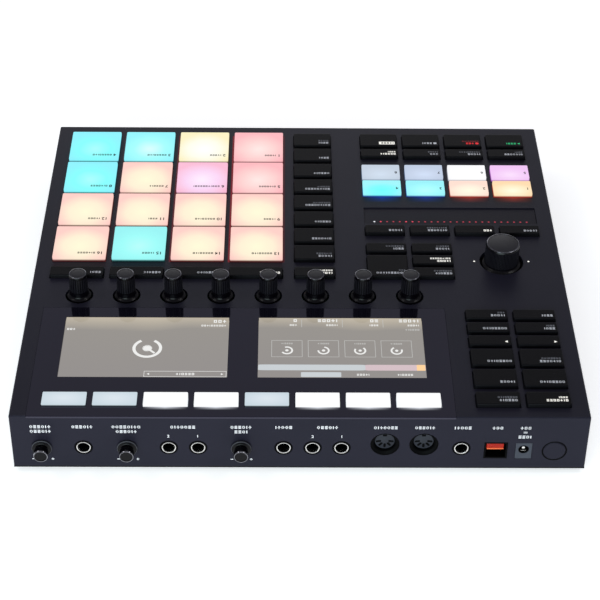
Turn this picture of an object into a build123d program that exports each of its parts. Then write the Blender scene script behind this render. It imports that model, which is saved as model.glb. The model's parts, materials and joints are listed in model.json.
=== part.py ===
from build123d import *
import os

os.makedirs("parts", exist_ok=True)

# A desktop pad controller: sixteen lit pads, banks of keys, two screens with eight knobs
# under them, a jog knob that turns, tilts and pushes, a touch strip, and a rear wall of
# sockets. Millimetres. The origin is the middle of the footprint, on the surface that
# the feet stand on. +X is the player's right, +Y is the rear, +Z is up.

# Fits
overrun = 1.0
window_gap = 0.35  # key or pad to the side of its window
rest_gap = 0.3  # moving piece to its stop, at rest
shaft_gap = 0.1  # shaft to its bore, on the radius
inlay_gap = 0.15  # inlaid plate to the side of its recess
round_facets = 20  # sides of a round that repeats or is hidden
stem_facets = 8

# Stack of the case, from the surface up
foot_height = 2.5
base_thick = 1.5
io_standoff = 4.4
board_thick = 1.6
socket_height = 14.0
board_space = 2.4
switch_space = 10.5
plate_thick = 2.5

# Shell, base and feet
shell_wall = 2.5
edge_bevel = 0.5
rib_width = 3.0
rib_height = 4.0
boss_size = 7.0
boss_height = 12.0
board_margin = 1.0
foot_radius = 9.0
foot_inset = 24.0
foot_bevel = 0.8
screw_radius = 1.5
screw_length = 9.0
screw_head_radius = 2.8
screw_head_height = 1.4

# Pads
pad_size = 32.2
pad_gap = 3.8
pad_rise = 3.2
pad_corner = 1.2
pad_bevel = 0.7
pad_travel = 0.8
pad_margin = 9.85
front_margin = 11.3
pad_boss_size = 4.0

# Keys
key_width = 24.5
key_gap = 3.5
key_bevel = 0.5
key_travel = 0.6
small_key_length = 8.6
edit_key_length = 9.0
display_key_length = 10.7
key_rise = 2.4
group_key_rise = 2.8
display_key_rise = 1.3
lip_width = 0.9
lip_thick = 0.8
switch_size = 6.0
side_margin = 10.0
block_gap = 19.75
mode_gap = 7.2
pad_mode_gap = 7.9
perform_gap = 10.5
control_gap = 5.0  # rear row of the control keys to the next
group_setback = 1.5  # group keys behind the half rows of the pads

# Display panel, screens and knob row
panel_thick = 1.5
panel_bevel = 0.4
panel_inset = 9.4
panel_side = 7.6
panel_gap = 11.0  # least distance from the keys beside it
rear_margin = 8.4
display_key_gap = 3.58
screen_width = 95.04
screen_height = 53.86
screen_spacing = 17.56
screen_gap = 14.25
screen_chin = 8.79
screen_recess = 0.3
module_border = 5.2
module_thick = 3.9
knob_zone = 28.6
knob_setback = 12.1

# Knobs over encoders
knob_hole_radius = 8.35
knob_flange_radius = 7.2
knob_flange_thick = 1.4
knob_flange_drop = 0.6
knob_radius = 5.6
knob_height = 16.3
knob_bevel = 0.6
knob_flutes = 12
knob_stem_radius = 3.0
encoder_size = 12.0
encoder_height = 7.5
encoder_floor = 1.5

# Jog knob on its two tilting rings
jog_drop = 18.4
jog_hole_radius = 13.4
jog_flange_radius = 12.0
jog_flange_thick = 1.4
jog_flange_drop = 0.6
jog_radius = 10.5
jog_height = 14.0
jog_bevel = 0.9
jog_flutes = 24
jog_shaft_radius = 3.0
jog_shaft_reach = 8.0
jog_collar_radius = 4.0
jog_collar_thick = 1.2
jog_pin_radius = 1.5
jog_pin_depth = 2.5
jog_ring_height = 4.0
jog_ring_wall = 3.5
jog_cradle_wall = 3.4
jog_ring_gap = 1.0
jog_pocket_gap = 1.5
jog_base_wall = 4.5
jog_pivot_height = 5.0
jog_base_height = 8.0

# Touch strip and its row of lights
strip_gap = 4.8
strip_length = 17.0
strip_recess = 1.5
strip_thick = 0.8
led_count = 25
led_pitch = 4.0
led_size = 1.2
led_height = 0.15
led_inset = 2.7

# Rear wall: heights are above the socket board, places are shares of the row
rear_inset = 16.7
button_inset = 18.1
jack_height = 8.0
midi_height = 10.7
usb_height = 6.5
inlet_height = 6.2
jack_bore_radius = 3.2
jack_bush_radius = 5.0
jack_hole_gap = 0.2
jack_width = 12.0
jack_depth = 27.5
jack_floor = 2.0
ring_proud = 0.3
midi_radius = 8.0
midi_bore_radius = 6.7
midi_proud = 0.4
midi_recess = 3.2
midi_width = 15.0
midi_depth = 12.0
usb_width = 12.8
usb_tall = 11.6
usb_wall = 0.8
usb_depth = 16.0
usb_floor = 2.0
tongue_width = 9.0
tongue_tall = 3.4
tongue_recess = 3.0
inlet_width = 9.1
inlet_tall = 11.4
inlet_depth = 14.0
inlet_bore_radius = 3.0
inlet_bore_rise = 1.1
inlet_floor = 4.0
inlet_pin_radius = 1.0
inlet_pin_recess = 1.5
socket_hole_gap = 0.2
pot_width = 10.5
pot_depth = 9.0
rear_knob_reach = 8.0
rear_knob_base_radius = 5.65
rear_knob_base_thick = 1.6
rear_knob_radius = 4.1
rear_knob_flutes = 20
rear_knob_bevel = 0.5
rear_knob_stem_radius = 2.0
rear_knob_stem_length = 6.0
button_radius = 6.3
button_proud = 0.3
button_bevel = 0.4
button_lip = 1.1
button_lip_thick = 1.0
button_stem_radius = 2.5
button_stem_length = 3.0
button_travel = 1.5
power_switch_width = 13.0
power_switch_depth = 10.0
io_board_depth = 42.0
io_setback = 2.5
io_post_size = 6.0

rear_shares = {
    "phones_knob": 0.0,
    "phones_jack": 0.081,
    "line_knob": 0.166,
    "line_out_right": 0.247,
    "line_out_left": 0.304,
    "mic_knob": 0.388,
    "mic_jack": 0.4705,
    "line_in_two": 0.527,
    "line_in_one": 0.5835,
    "midi_out": 0.668,
    "midi_in": 0.744,
    "pedal_jack": 0.8175,
    "usb": 0.885,
    "power_inlet": 0.9395,
    "power_button": 1.0,
}
jack_names = [
    "phones_jack",
    "line_out_right",
    "line_out_left",
    "mic_jack",
    "line_in_two",
    "line_in_one",
    "pedal_jack",
]
midi_names = ["midi_out", "midi_in"]
rear_knob_names = ["phones_knob", "line_knob", "mic_knob"]

# Counts
pad_side_count = 4
column_count = 4
display_count = 8

# Overall sizes, worked out from what the case holds
pad_pitch = pad_size + pad_gap
pads_span = pad_side_count * pad_pitch - pad_gap
column_pitch = key_width + key_gap
block_width = column_count * column_pitch - key_gap
front_row_width = (
    side_margin + block_width + block_gap + key_width + mode_gap + pads_span + pad_margin
)
display_pitch = key_width + display_key_gap
display_row_width = display_count * display_pitch - display_key_gap
screen_row_width = 2 * screen_width + screen_spacing
panel_width = max(display_row_width, screen_row_width) + 2 * panel_side
rear_row_width = side_margin + column_pitch + key_width + panel_gap + panel_width + panel_inset
case_width = max(front_row_width, rear_row_width)
panel_depth = rear_margin + display_key_length + screen_gap + screen_height + screen_chin
case_depth = front_margin + pads_span + pad_mode_gap + edit_key_length + knob_zone + panel_depth
base_top = foot_height + base_thick
io_top = base_top + io_standoff + board_thick
socket_top = io_top + socket_height
main_top = socket_top + board_space + board_thick
plate_bottom = main_top + switch_space
top_z = plate_bottom + plate_thick

# Sides of the case
left_x = -case_width / 2
right_x = case_width / 2
front_y = -(case_depth + rear_knob_reach) / 2
rear_y = front_y + case_depth
case_y = (front_y + rear_y) / 2
inner_x = case_width / 2 - shell_wall
inner_depth = case_depth - 2 * shell_wall
inner_rear = rear_y - shell_wall

# Key levels
lip_top = plate_bottom - rest_gap
lip_bottom = lip_top - lip_thick
switch_top = lip_bottom - key_travel - rest_gap
pad_board_top = lip_bottom - pad_travel - rest_gap

# Columns and rows of the top
columns_x = [
    left_x + side_margin + key_width / 2 + n * column_pitch for n in range(column_count)
]
pads_left = right_x - pad_margin - pads_span
pads_front = front_y + front_margin
pads_rear = pads_front + pads_span
pad_columns = [pads_left + pad_size / 2 + n * pad_pitch for n in range(pad_side_count)]
pad_rows = [pads_front + pad_size / 2 + n * pad_pitch for n in range(pad_side_count)]
half_pitch = pad_pitch / 2
half_length = half_pitch - key_gap
half_rows = [pad_rows[0] - half_pitch / 2 + n * half_pitch for n in range(2 * pad_side_count)]
mode_x = pads_left - mode_gap - key_width / 2
edit_front = pads_rear + pad_mode_gap
edit_rear = edit_front + edit_key_length
edit_row = edit_front + edit_key_length / 2
perform_rear = edit_rear - 3 * edit_key_length - 2 * key_gap - perform_gap
perform_row = perform_rear - small_key_length / 2
upper_transport_row = half_rows[0] + half_length / 2 + key_gap + edit_key_length / 2
jog_x = (columns_x[0] + columns_x[1]) / 2
jog_y = edit_rear - jog_drop
strip_x = (columns_x[0] + columns_x[-1]) / 2
strip_rear = perform_rear - small_key_length - strip_gap
strip_y = strip_rear - strip_length / 2

# Display panel places
panel_x = right_x - panel_inset - panel_width / 2
panel_front = rear_y - panel_depth
display_columns = [
    panel_x + (n - (display_count - 1) / 2) * display_pitch for n in range(display_count)
]
display_row = rear_y - rear_margin - display_key_length / 2
screen_y = panel_front + screen_chin + screen_height / 2
screens_x = [panel_x + side * (screen_width + screen_spacing) / 2 for side in (-1, 1)]
knob_y = panel_front - knob_setback

# Rear wall places
rear_row_length = case_width - rear_inset - button_inset
rear_x = {name: right_x - rear_inset - share * rear_row_length for name, share in rear_shares.items()}
jack_z = io_top + jack_height
midi_z = io_top + midi_height
usb_z = io_top + usb_height
inlet_z = io_top + inlet_height


def stack(rear, lengths):
    """Rows of keys laid from a rear edge towards the player, a key gap apart."""
    rows = []
    for length in lengths:
        rows.append((rear - length / 2, length))
        rear -= length + key_gap
    return rows


def grid(xs, rows, width):
    """Key places as (x, y, width, length) for every column and row."""
    return [(x, y, width, length) for y, length in rows for x in xs]


def rectangles(places, growth, mode=Mode.ADD):
    """Draws each place in the open sketch, larger by growth on every side."""
    for x, y, width, length in places:
        with Locations((x, y)):
            Rectangle(width + 2 * growth, length + 2 * growth, mode=mode)


def across(y):
    """A plane facing the player at depth y: its own axes are X and Z."""
    return Plane.XZ.offset(-y)


def round_shape(radius, mode=Mode.ADD):
    """Draws a many-sided round in the open sketch, for what repeats or is hidden."""
    RegularPolygon(radius, round_facets, mode=mode)


def fluted_shape(radius, flutes):
    """Draws a grip with shallow flutes: two many-sided rounds, half a side apart."""
    RegularPolygon(radius, flutes // 2)
    RegularPolygon(radius, flutes // 2, rotation=360 / flutes)


control_rows = stack(rear_y - rear_margin, [display_key_length]) + stack(
    rear_y - rear_margin - display_key_length - control_gap,
    2 * [half_length] + 3 * [small_key_length],
)
key_banks = {
    "control_keys": (grid(columns_x[:2], control_rows, key_width), key_rise),
    "performance_keys": (
        grid(columns_x[2:3], stack(edit_rear, 3 * [edit_key_length]), key_width)
        + grid(
            columns_x[3:],
            stack(edit_rear, [2 * edit_key_length + key_gap, edit_key_length]),
            key_width,
        )
        + grid(columns_x, [(perform_row, small_key_length)], key_width),
        key_rise,
    ),
    "group_keys": (
        grid(columns_x, [(y + group_setback, half_length) for y in half_rows[2:4]], key_width),
        group_key_rise,
    ),
    "transport_keys": (
        grid(
            columns_x,
            [(half_rows[0], half_length), (upper_transport_row, edit_key_length)],
            key_width,
        ),
        key_rise,
    ),
    "mode_keys": (
        grid(
            [mode_x],
            [(y, half_length) for y in half_rows] + [(edit_row, edit_key_length)],
            key_width,
        ),
        key_rise,
    ),
    "pad_mode_keys": (grid(pad_columns, [(edit_row, edit_key_length)], pad_size), key_rise),
    "display_keys": (
        grid(display_columns, [(display_row, display_key_length)], key_width),
        display_key_rise,
    ),
}
key_places = [place for places, _ in key_banks.values() for place in places]
display_key_places = key_banks["display_keys"][0]
pad_places = grid(pad_columns, [(y, pad_size) for y in pad_rows], pad_size)
screen_places = [(x, screen_y, screen_width, screen_height) for x in screens_x]
strip_place = (strip_x, strip_y, block_width, strip_length)
pad_board_left = pads_left - mode_gap / 2 - pad_boss_size / 2
pad_board_right = inner_x - board_margin / 2
pad_board_front = front_y + shell_wall + board_margin
pad_board_rear = pads_rear + pad_mode_gap / 2 + pad_boss_size / 2
pad_boss_places = [
    (x, y)
    for x in (pads_left - mode_gap / 2, (pads_left + pads_span + inner_x) / 2)
    for y in ((pads_front + front_y + shell_wall) / 2, pads_rear + pad_mode_gap / 2)
]
screw_spacing_x = 2 * inner_x - boss_size
screw_spacing_y = inner_depth - boss_size
foot_spacing_x = case_width - 2 * foot_inset
foot_spacing_y = case_depth - 2 * foot_inset
io_board_width = 2 * (inner_x - boss_size - board_margin)
io_board_y = inner_rear - io_setback - io_board_depth / 2

# Top housing: one moulded shell, with the windows of the top and the sockets' holes
with BuildPart() as top_housing:
    with BuildSketch(Plane.XY.offset(base_top)):
        with Locations((0, case_y)):
            Rectangle(case_width, case_depth)
    extrude(amount=top_z - base_top)
    chamfer(top_housing.edges().filter_by(Axis.Z), edge_bevel)
    chamfer(top_housing.faces().sort_by(Axis.Z)[-1].edges(), edge_bevel)
    with BuildSketch(Plane.XY.offset(base_top)):
        with Locations((0, case_y)):
            Rectangle(2 * inner_x, inner_depth)
    extrude(amount=plate_bottom - base_top, mode=Mode.SUBTRACT)
    # Ribs that the main board hangs under
    with BuildSketch(Plane.XY.offset(main_top)):
        with Locations((0, case_y)):
            with GridLocations(2 * inner_x - rib_width, 0, 2, 1):
                Rectangle(rib_width, inner_depth)
    extrude(amount=rib_height)
    # Blocks that the base screws bite into
    with BuildSketch(Plane.XY.offset(base_top)):
        with Locations((0, case_y)):
            with GridLocations(screw_spacing_x, screw_spacing_y, 2, 2):
                Rectangle(boss_size, boss_size)
    extrude(amount=boss_height)
    with BuildSketch(Plane.XY.offset(base_top)):
        with Locations((0, case_y)):
            with GridLocations(screw_spacing_x, screw_spacing_y, 2, 2):
                RegularPolygon(screw_radius + shaft_gap, stem_facets)
    extrude(amount=screw_length, mode=Mode.SUBTRACT)
    # Bosses that carry the pad board
    with BuildSketch(Plane.XY.offset(pad_board_top)):
        with Locations(*pad_boss_places):
            Rectangle(pad_boss_size, pad_boss_size)
    extrude(amount=plate_bottom - pad_board_top)
    # Windows through the top
    with BuildSketch(Plane.XY.offset(plate_bottom)):
        rectangles(key_places + pad_places, window_gap)
        rectangles(screen_places, inlay_gap)
        with Locations(*[(x, knob_y) for x in display_columns]):
            round_shape(knob_hole_radius)
        with Locations((jog_x, jog_y)):
            Circle(jog_hole_radius)
    extrude(amount=plate_thick + overrun, mode=Mode.SUBTRACT)
    # Recess of the display panel, open to the rear, and recess of the touch strip
    with BuildSketch(Plane.XY.offset(top_z - panel_thick)):
        with Locations((panel_x, panel_front - inlay_gap)):
            Rectangle(
                panel_width + 2 * inlay_gap,
                panel_depth + inlay_gap + overrun,
                align=(Align.CENTER, Align.MIN),
            )
    extrude(amount=panel_thick + overrun, mode=Mode.SUBTRACT)
    with BuildSketch(Plane.XY.offset(top_z - strip_recess)):
        rectangles([strip_place], inlay_gap)
    extrude(amount=strip_recess + overrun, mode=Mode.SUBTRACT)
    # Holes of the rear wall
    with BuildSketch(across(rear_y + overrun)):
        with Locations(*[(rear_x[name], jack_z) for name in jack_names]):
            round_shape(jack_bush_radius + jack_hole_gap)
        with Locations(*[(rear_x[name], jack_z) for name in rear_knob_names]):
            RegularPolygon(rear_knob_stem_radius + window_gap, stem_facets)
        with Locations(*[(rear_x[name], midi_z) for name in midi_names]):
            round_shape(midi_radius + socket_hole_gap)
        with Locations((rear_x["usb"], usb_z)):
            Rectangle(usb_width + 2 * socket_hole_gap, usb_tall + 2 * socket_hole_gap)
        with Locations((rear_x["power_inlet"], inlet_z)):
            Rectangle(inlet_width + 2 * socket_hole_gap, inlet_tall + 2 * socket_hole_gap)
        with Locations((rear_x["power_button"], inlet_z)):
            Circle(button_radius + window_gap)
    extrude(amount=overrun + shell_wall, mode=Mode.SUBTRACT)
top_housing.part.label = "top_housing"
export_step(top_housing.part, "parts/top_housing.step")

# Base plate: steel sheet with pressed studs under the socket board
with BuildPart() as base_plate:
    with BuildSketch(Plane.XY.offset(foot_height)):
        with Locations((0, case_y)):
            Rectangle(case_width, case_depth)
            with GridLocations(screw_spacing_x, screw_spacing_y, 2, 2):
                RegularPolygon(screw_radius + shaft_gap, stem_facets, mode=Mode.SUBTRACT)
    extrude(amount=base_thick)
    chamfer(base_plate.faces().sort_by(Axis.Z)[0].outer_wire().edges(), edge_bevel)
    with BuildSketch(Plane.XY.offset(base_top)):
        with Locations((0, io_board_y)):
            with GridLocations(
                io_board_width - 2 * boss_size, io_board_depth - 2 * boss_size, 2, 2
            ):
                Rectangle(io_post_size, io_post_size)
    extrude(amount=io_standoff)
base_plate.part.label = "base_plate"
export_step(base_plate.part, "parts/base_plate.step")

# Rubber feet
with BuildPart() as rubber_feet:
    with BuildSketch():
        with Locations((0, case_y)):
            with GridLocations(foot_spacing_x, foot_spacing_y, 2, 2):
                round_shape(foot_radius)
    extrude(amount=foot_height)
    chamfer(rubber_feet.edges().group_by(Axis.Z)[0], foot_bevel)
rubber_feet.part.label = "rubber_feet"
export_step(rubber_feet.part, "parts/rubber_feet.step")

# Screws of the base, heads under the plate
with BuildPart() as case_screws:
    with BuildSketch(Plane.XY.offset(foot_height)):
        with Locations((0, case_y)):
            with GridLocations(screw_spacing_x, screw_spacing_y, 2, 2):
                round_shape(screw_head_radius)
    extrude(amount=-screw_head_height)
    with BuildSketch(Plane.XY.offset(foot_height)):
        with Locations((0, case_y)):
            with GridLocations(screw_spacing_x, screw_spacing_y, 2, 2):
                RegularPolygon(screw_radius, stem_facets)
    extrude(amount=screw_length)
case_screws.part.label = "case_screws"
export_step(case_screws.part, "parts/case_screws.step")

# Display panel: dark sheet laid flush in the top, out to the rear wall
with BuildPart() as display_panel:
    with BuildSketch(Plane.XY.offset(top_z - panel_thick)):
        with Locations((panel_x, panel_front)):
            Rectangle(panel_width, panel_depth, align=(Align.CENTER, Align.MIN))
        rectangles(display_key_places, window_gap, Mode.SUBTRACT)
        rectangles(screen_places, inlay_gap, Mode.SUBTRACT)
    extrude(amount=panel_thick)
    chamfer(display_panel.faces().sort_by(Axis.Y)[-1].edges().sort_by(Axis.Z)[-1], panel_bevel)
display_panel.part.label = "display_panel"
export_step(display_panel.part, "parts/display_panel.step")

# Display modules: a framed body under the top, its glass raised into the panel's window
with BuildPart() as display_modules:
    with BuildSketch(Plane.XY.offset(plate_bottom)):
        rectangles(screen_places, module_border)
    extrude(amount=-module_thick)
    with BuildSketch(Plane.XY.offset(plate_bottom)):
        rectangles(screen_places, 0)
    extrude(amount=plate_thick - screen_recess)
display_modules.part.label = "display_modules"
export_step(display_modules.part, "parts/display_modules.step")

# Main board under the whole top, held up against the housing's ribs
with BuildPart() as main_board:
    with BuildSketch(Plane.XY.offset(main_top)):
        with Locations((0, case_y)):
            Rectangle(2 * (inner_x - board_margin), inner_depth - 2 * board_margin)
    extrude(amount=-board_thick)
main_board.part.label = "main_board"
export_step(main_board.part, "parts/main_board.step")

# Pad sensor board, against its four bosses
with BuildPart() as pad_sensor_board:
    with BuildSketch(Plane.XY.offset(pad_board_top)):
        with Locations((pad_board_left, pad_board_front)):
            Rectangle(
                pad_board_right - pad_board_left,
                pad_board_rear - pad_board_front,
                align=(Align.MIN, Align.MIN),
            )
    extrude(amount=-board_thick)
pad_sensor_board.part.label = "pad_sensor_board"
export_step(pad_sensor_board.part, "parts/pad_sensor_board.step")

# Key switches, one under the middle of each key
with BuildPart() as key_switches:
    with BuildSketch(Plane.XY.offset(main_top)):
        with Locations(*[(x, y) for x, y, _, _ in key_places]):
            Rectangle(switch_size, switch_size)
    extrude(amount=switch_top - main_top)
key_switches.part.label = "key_switches"
export_step(key_switches.part, "parts/key_switches.step")

# Touch strip in its recess
with BuildPart() as touch_strip:
    with BuildSketch(Plane.XY.offset(top_z - strip_recess)):
        rectangles([strip_place], 0)
    extrude(amount=strip_thick)
touch_strip.part.label = "touch_strip"
export_step(touch_strip.part, "parts/touch_strip.step")

# Row of lights along the rear of the strip
with BuildPart() as strip_leds:
    with BuildSketch(Plane.XY.offset(top_z - strip_recess + strip_thick)):
        with Locations((strip_x, strip_rear - led_inset)):
            with GridLocations(led_pitch, 0, led_count, 1):
                Rectangle(led_size, led_size)
    extrude(amount=led_height)
strip_leds.part.label = "strip_leds"
export_step(strip_leds.part, "parts/strip_leds.step")

# Encoders under the knobs
with BuildPart() as encoder_bodies:
    with BuildSketch(Plane.XY.offset(main_top)):
        with Locations(*[(x, knob_y) for x in display_columns]):
            Rectangle(encoder_size, encoder_size)
    extrude(amount=encoder_height)
    with BuildSketch(Plane.XY.offset(main_top + encoder_floor)):
        with Locations(*[(x, knob_y) for x in display_columns]):
            Rectangle(2 * (knob_stem_radius + shaft_gap), 2 * (knob_stem_radius + shaft_gap))
    extrude(amount=encoder_height, mode=Mode.SUBTRACT)
encoder_bodies.part.label = "encoder_bodies"
export_step(encoder_bodies.part, "parts/encoder_bodies.step")

# Knobs: fluted cap and flange on a stem that turns in the encoder
flange_top = top_z - knob_flange_drop
flange_bottom = flange_top - knob_flange_thick
stem_bottom = main_top + encoder_floor + rest_gap
for number, x in enumerate(display_columns, start=1):
    with BuildPart() as knob:
        with BuildSketch(Plane.XY.offset(flange_top)):
            with Locations((x, knob_y)):
                fluted_shape(knob_radius, knob_flutes)
        extrude(amount=top_z + knob_height - flange_top)
        chamfer(knob.edges().group_by(Axis.Z)[-1], knob_bevel)
        with BuildSketch(Plane.XY.offset(flange_bottom)):
            with Locations((x, knob_y)):
                round_shape(knob_flange_radius)
        extrude(amount=knob_flange_thick)
        with BuildSketch(Plane.XY.offset(stem_bottom)):
            with Locations((x, knob_y)):
                Circle(knob_stem_radius)
        extrude(amount=flange_bottom - stem_bottom)
    knob.part.label = f"knob_{number}"
    export_step(knob.part, f"parts/knob_{number}.step")

# Pads: silicone blocks with a lip that the top holds down
for number, (x, y, width, length) in enumerate(pad_places, start=1):
    with BuildPart() as pad:
        with BuildSketch(Plane.XY.offset(lip_top)) as pad_outline:
            with Locations((x, y)):
                Rectangle(width, length)
            chamfer(pad_outline.vertices(), pad_corner)
        extrude(amount=top_z + pad_rise - lip_top)
        chamfer(pad.edges().group_by(Axis.Z)[-1], pad_bevel)
        with BuildSketch(Plane.XY.offset(lip_top)):
            with Locations((x, y)):
                Rectangle(width + 2 * lip_width, length + 2 * lip_width)
        extrude(amount=-lip_thick)
    pad.part.label = f"pad_{number}"
    export_step(pad.part, f"parts/pad_{number}.step")

# Key banks: separate caps, each with a lip under the top
for bank_name, (places, rise) in key_banks.items():
    with BuildPart() as key_bank:
        with BuildSketch(Plane.XY.offset(lip_top)):
            rectangles(places, 0)
        extrude(amount=top_z + rise - lip_top)
        chamfer(key_bank.edges().group_by(Axis.Z)[-1], key_bevel)
        with BuildSketch(Plane.XY.offset(lip_top)):
            rectangles(places, lip_width)
        extrude(amount=-lip_thick)
    key_bank.part.label = bank_name
    export_step(key_bank.part, f"parts/{bank_name}.step")

# Jog base: a block on the main board with a round pocket and a bore through each side
jog_pivot_z = main_top + jog_pivot_height
cradle_radius = jog_shaft_radius + shaft_gap + jog_cradle_wall
ring_inner = cradle_radius + jog_ring_gap
ring_outer = ring_inner + jog_ring_wall
pocket_radius = ring_outer + jog_pocket_gap
jog_base_half = pocket_radius + jog_base_wall
with BuildPart() as jog_base:
    with BuildSketch(Plane.XY.offset(main_top)):
        with Locations((jog_x, jog_y)):
            Rectangle(2 * jog_base_half, 2 * jog_base_half)
            RegularPolygon(pocket_radius, stem_facets, major_radius=False, mode=Mode.SUBTRACT)
    extrude(amount=jog_base_height)
    with BuildSketch(Plane.YZ.offset(jog_x - jog_base_half)):
        with Locations((jog_y, jog_pivot_z)):
            Circle(jog_pin_radius + shaft_gap)
    extrude(amount=2 * jog_base_half, mode=Mode.SUBTRACT)
jog_base.part.label = "jog_base"
export_step(jog_base.part, "parts/jog_base.step")

# Jog rocker: outer ring, tilting to the front and rear on its two side pins
rocker_reach = pocket_radius + jog_pin_depth
with BuildPart() as jog_rocker:
    with BuildSketch(Plane.YZ.offset(jog_x - rocker_reach)):
        with Locations((jog_y, jog_pivot_z)):
            Circle(jog_pin_radius)
    extrude(amount=2 * rocker_reach)
    with BuildSketch(Plane.XY.offset(jog_pivot_z - jog_ring_height / 2)):
        with Locations((jog_x, jog_y)):
            RegularPolygon(ring_outer, stem_facets)
    extrude(amount=jog_ring_height)
    with BuildSketch(Plane.XY.offset(jog_pivot_z - jog_ring_height / 2)):
        with Locations((jog_x, jog_y)):
            RegularPolygon(ring_inner, stem_facets, major_radius=False)
    extrude(amount=jog_ring_height, mode=Mode.SUBTRACT)
    with BuildSketch(across(jog_y + ring_outer)):
        with Locations((jog_x, jog_pivot_z)):
            Circle(jog_pin_radius + shaft_gap)
    extrude(amount=2 * ring_outer, mode=Mode.SUBTRACT)
jog_rocker.part.label = "jog_rocker"
export_step(jog_rocker.part, "parts/jog_rocker.step")

# Jog cradle: bush in the ring, tilting to the left and right on its own two pins
cradle_reach = ring_inner + jog_pin_depth
with BuildPart() as jog_cradle:
    with BuildSketch(across(jog_y + cradle_reach)):
        with Locations((jog_x, jog_pivot_z)):
            Circle(jog_pin_radius)
    extrude(amount=2 * cradle_reach)
    with BuildSketch(Plane.XY.offset(jog_pivot_z - jog_ring_height / 2)):
        with Locations((jog_x, jog_y)):
            RegularPolygon(cradle_radius, stem_facets)
    extrude(amount=jog_ring_height)
    with BuildSketch(Plane.XY.offset(jog_pivot_z - jog_ring_height / 2)):
        with Locations((jog_x, jog_y)):
            Circle(jog_shaft_radius + shaft_gap)
    extrude(amount=jog_ring_height, mode=Mode.SUBTRACT)
jog_cradle.part.label = "jog_cradle"
export_step(jog_cradle.part, "parts/jog_cradle.step")

# Jog shaft: slides down through the cradle, with a collar under it
collar_top = jog_pivot_z - jog_ring_height / 2 - rest_gap
with BuildPart() as jog_shaft:
    with BuildSketch(Plane.XY.offset(collar_top)):
        with Locations((jog_x, jog_y)):
            round_shape(jog_collar_radius)
    extrude(amount=-jog_collar_thick)
    with BuildSketch(Plane.XY.offset(collar_top)):
        with Locations((jog_x, jog_y)):
            Circle(jog_shaft_radius)
    extrude(amount=top_z + jog_shaft_reach - collar_top)
jog_shaft.part.label = "jog_shaft"
export_step(jog_shaft.part, "parts/jog_shaft.step")

# Jog knob: knurled cap and flange, turning on the shaft
jog_flange_top = top_z - jog_flange_drop
jog_flange_bottom = jog_flange_top - jog_flange_thick
jog_bore_radius = jog_shaft_radius + shaft_gap
jog_bore_top = top_z + jog_shaft_reach + rest_gap
with BuildPart() as jog_knob:
    with BuildSketch(Plane.XY.offset(jog_flange_top)):
        with Locations((jog_x, jog_y)):
            fluted_shape(jog_radius, jog_flutes)
    extrude(amount=top_z + jog_height - jog_flange_top)
    chamfer(jog_knob.edges().group_by(Axis.Z)[-1], jog_bevel)
    with BuildSketch(Plane.XY.offset(jog_flange_bottom)):
        with Locations((jog_x, jog_y)):
            round_shape(jog_flange_radius)
    extrude(amount=jog_flange_thick)
    with BuildSketch(Plane.XY.offset(jog_flange_bottom)):
        with Locations((jog_x, jog_y)):
            Circle(jog_bore_radius)
    extrude(amount=jog_bore_top - jog_flange_bottom, mode=Mode.SUBTRACT)
jog_knob.part.label = "jog_knob"
export_step(jog_knob.part, "parts/jog_knob.step")

# Socket board on the base plate's studs
with BuildPart() as io_board:
    with BuildSketch(Plane.XY.offset(io_top)):
        with Locations((0, io_board_y)):
            Rectangle(io_board_width, io_board_depth)
    extrude(amount=-board_thick)
io_board.part.label = "io_board"
export_step(io_board.part, "parts/io_board.step")

# Jack sockets: block on the board, a round nose through the wall, a blind bore
with BuildPart() as jack_sockets:
    with BuildSketch(across(inner_rear)):
        with Locations(*[(rear_x[name], io_top) for name in jack_names]):
            Rectangle(jack_width, socket_height, align=(Align.CENTER, Align.MIN))
    extrude(amount=jack_depth)
    with BuildSketch(across(inner_rear)):
        with Locations(*[(rear_x[name], jack_z) for name in jack_names]):
            Circle(jack_bore_radius)
    extrude(amount=jack_depth - jack_floor, mode=Mode.SUBTRACT)
jack_sockets.part.label = "jack_sockets"
export_step(jack_sockets.part, "parts/jack_sockets.step")

# Ring bushes that bring the jacks' mouths through the wall
with BuildPart() as jack_rings:
    with BuildSketch(across(rear_y + ring_proud)):
        with Locations(*[(rear_x[name], jack_z) for name in jack_names]):
            round_shape(jack_bush_radius)
            RegularPolygon(
                jack_bore_radius, round_facets, major_radius=False, mode=Mode.SUBTRACT
            )
    extrude(amount=ring_proud + shell_wall)
jack_rings.part.label = "jack_rings"
export_step(jack_rings.part, "parts/jack_rings.step")

# Five-pole sockets: round shell through the wall, its face set back
with BuildPart() as midi_sockets:
    with BuildSketch(across(inner_rear)):
        with Locations(*[(rear_x[name], io_top) for name in midi_names]):
            Rectangle(midi_width, socket_height, align=(Align.CENTER, Align.MIN))
    extrude(amount=midi_depth)
    with BuildSketch(across(rear_y + midi_proud)):
        with Locations(*[(rear_x[name], midi_z) for name in midi_names]):
            round_shape(midi_radius)
    extrude(amount=midi_proud + shell_wall)
    with BuildSketch(across(rear_y + midi_proud)):
        with Locations(*[(rear_x[name], midi_z) for name in midi_names]):
            Circle(midi_bore_radius)
    extrude(amount=midi_recess, mode=Mode.SUBTRACT)
midi_sockets.part.label = "midi_sockets"
export_step(midi_sockets.part, "parts/midi_sockets.step")

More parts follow.
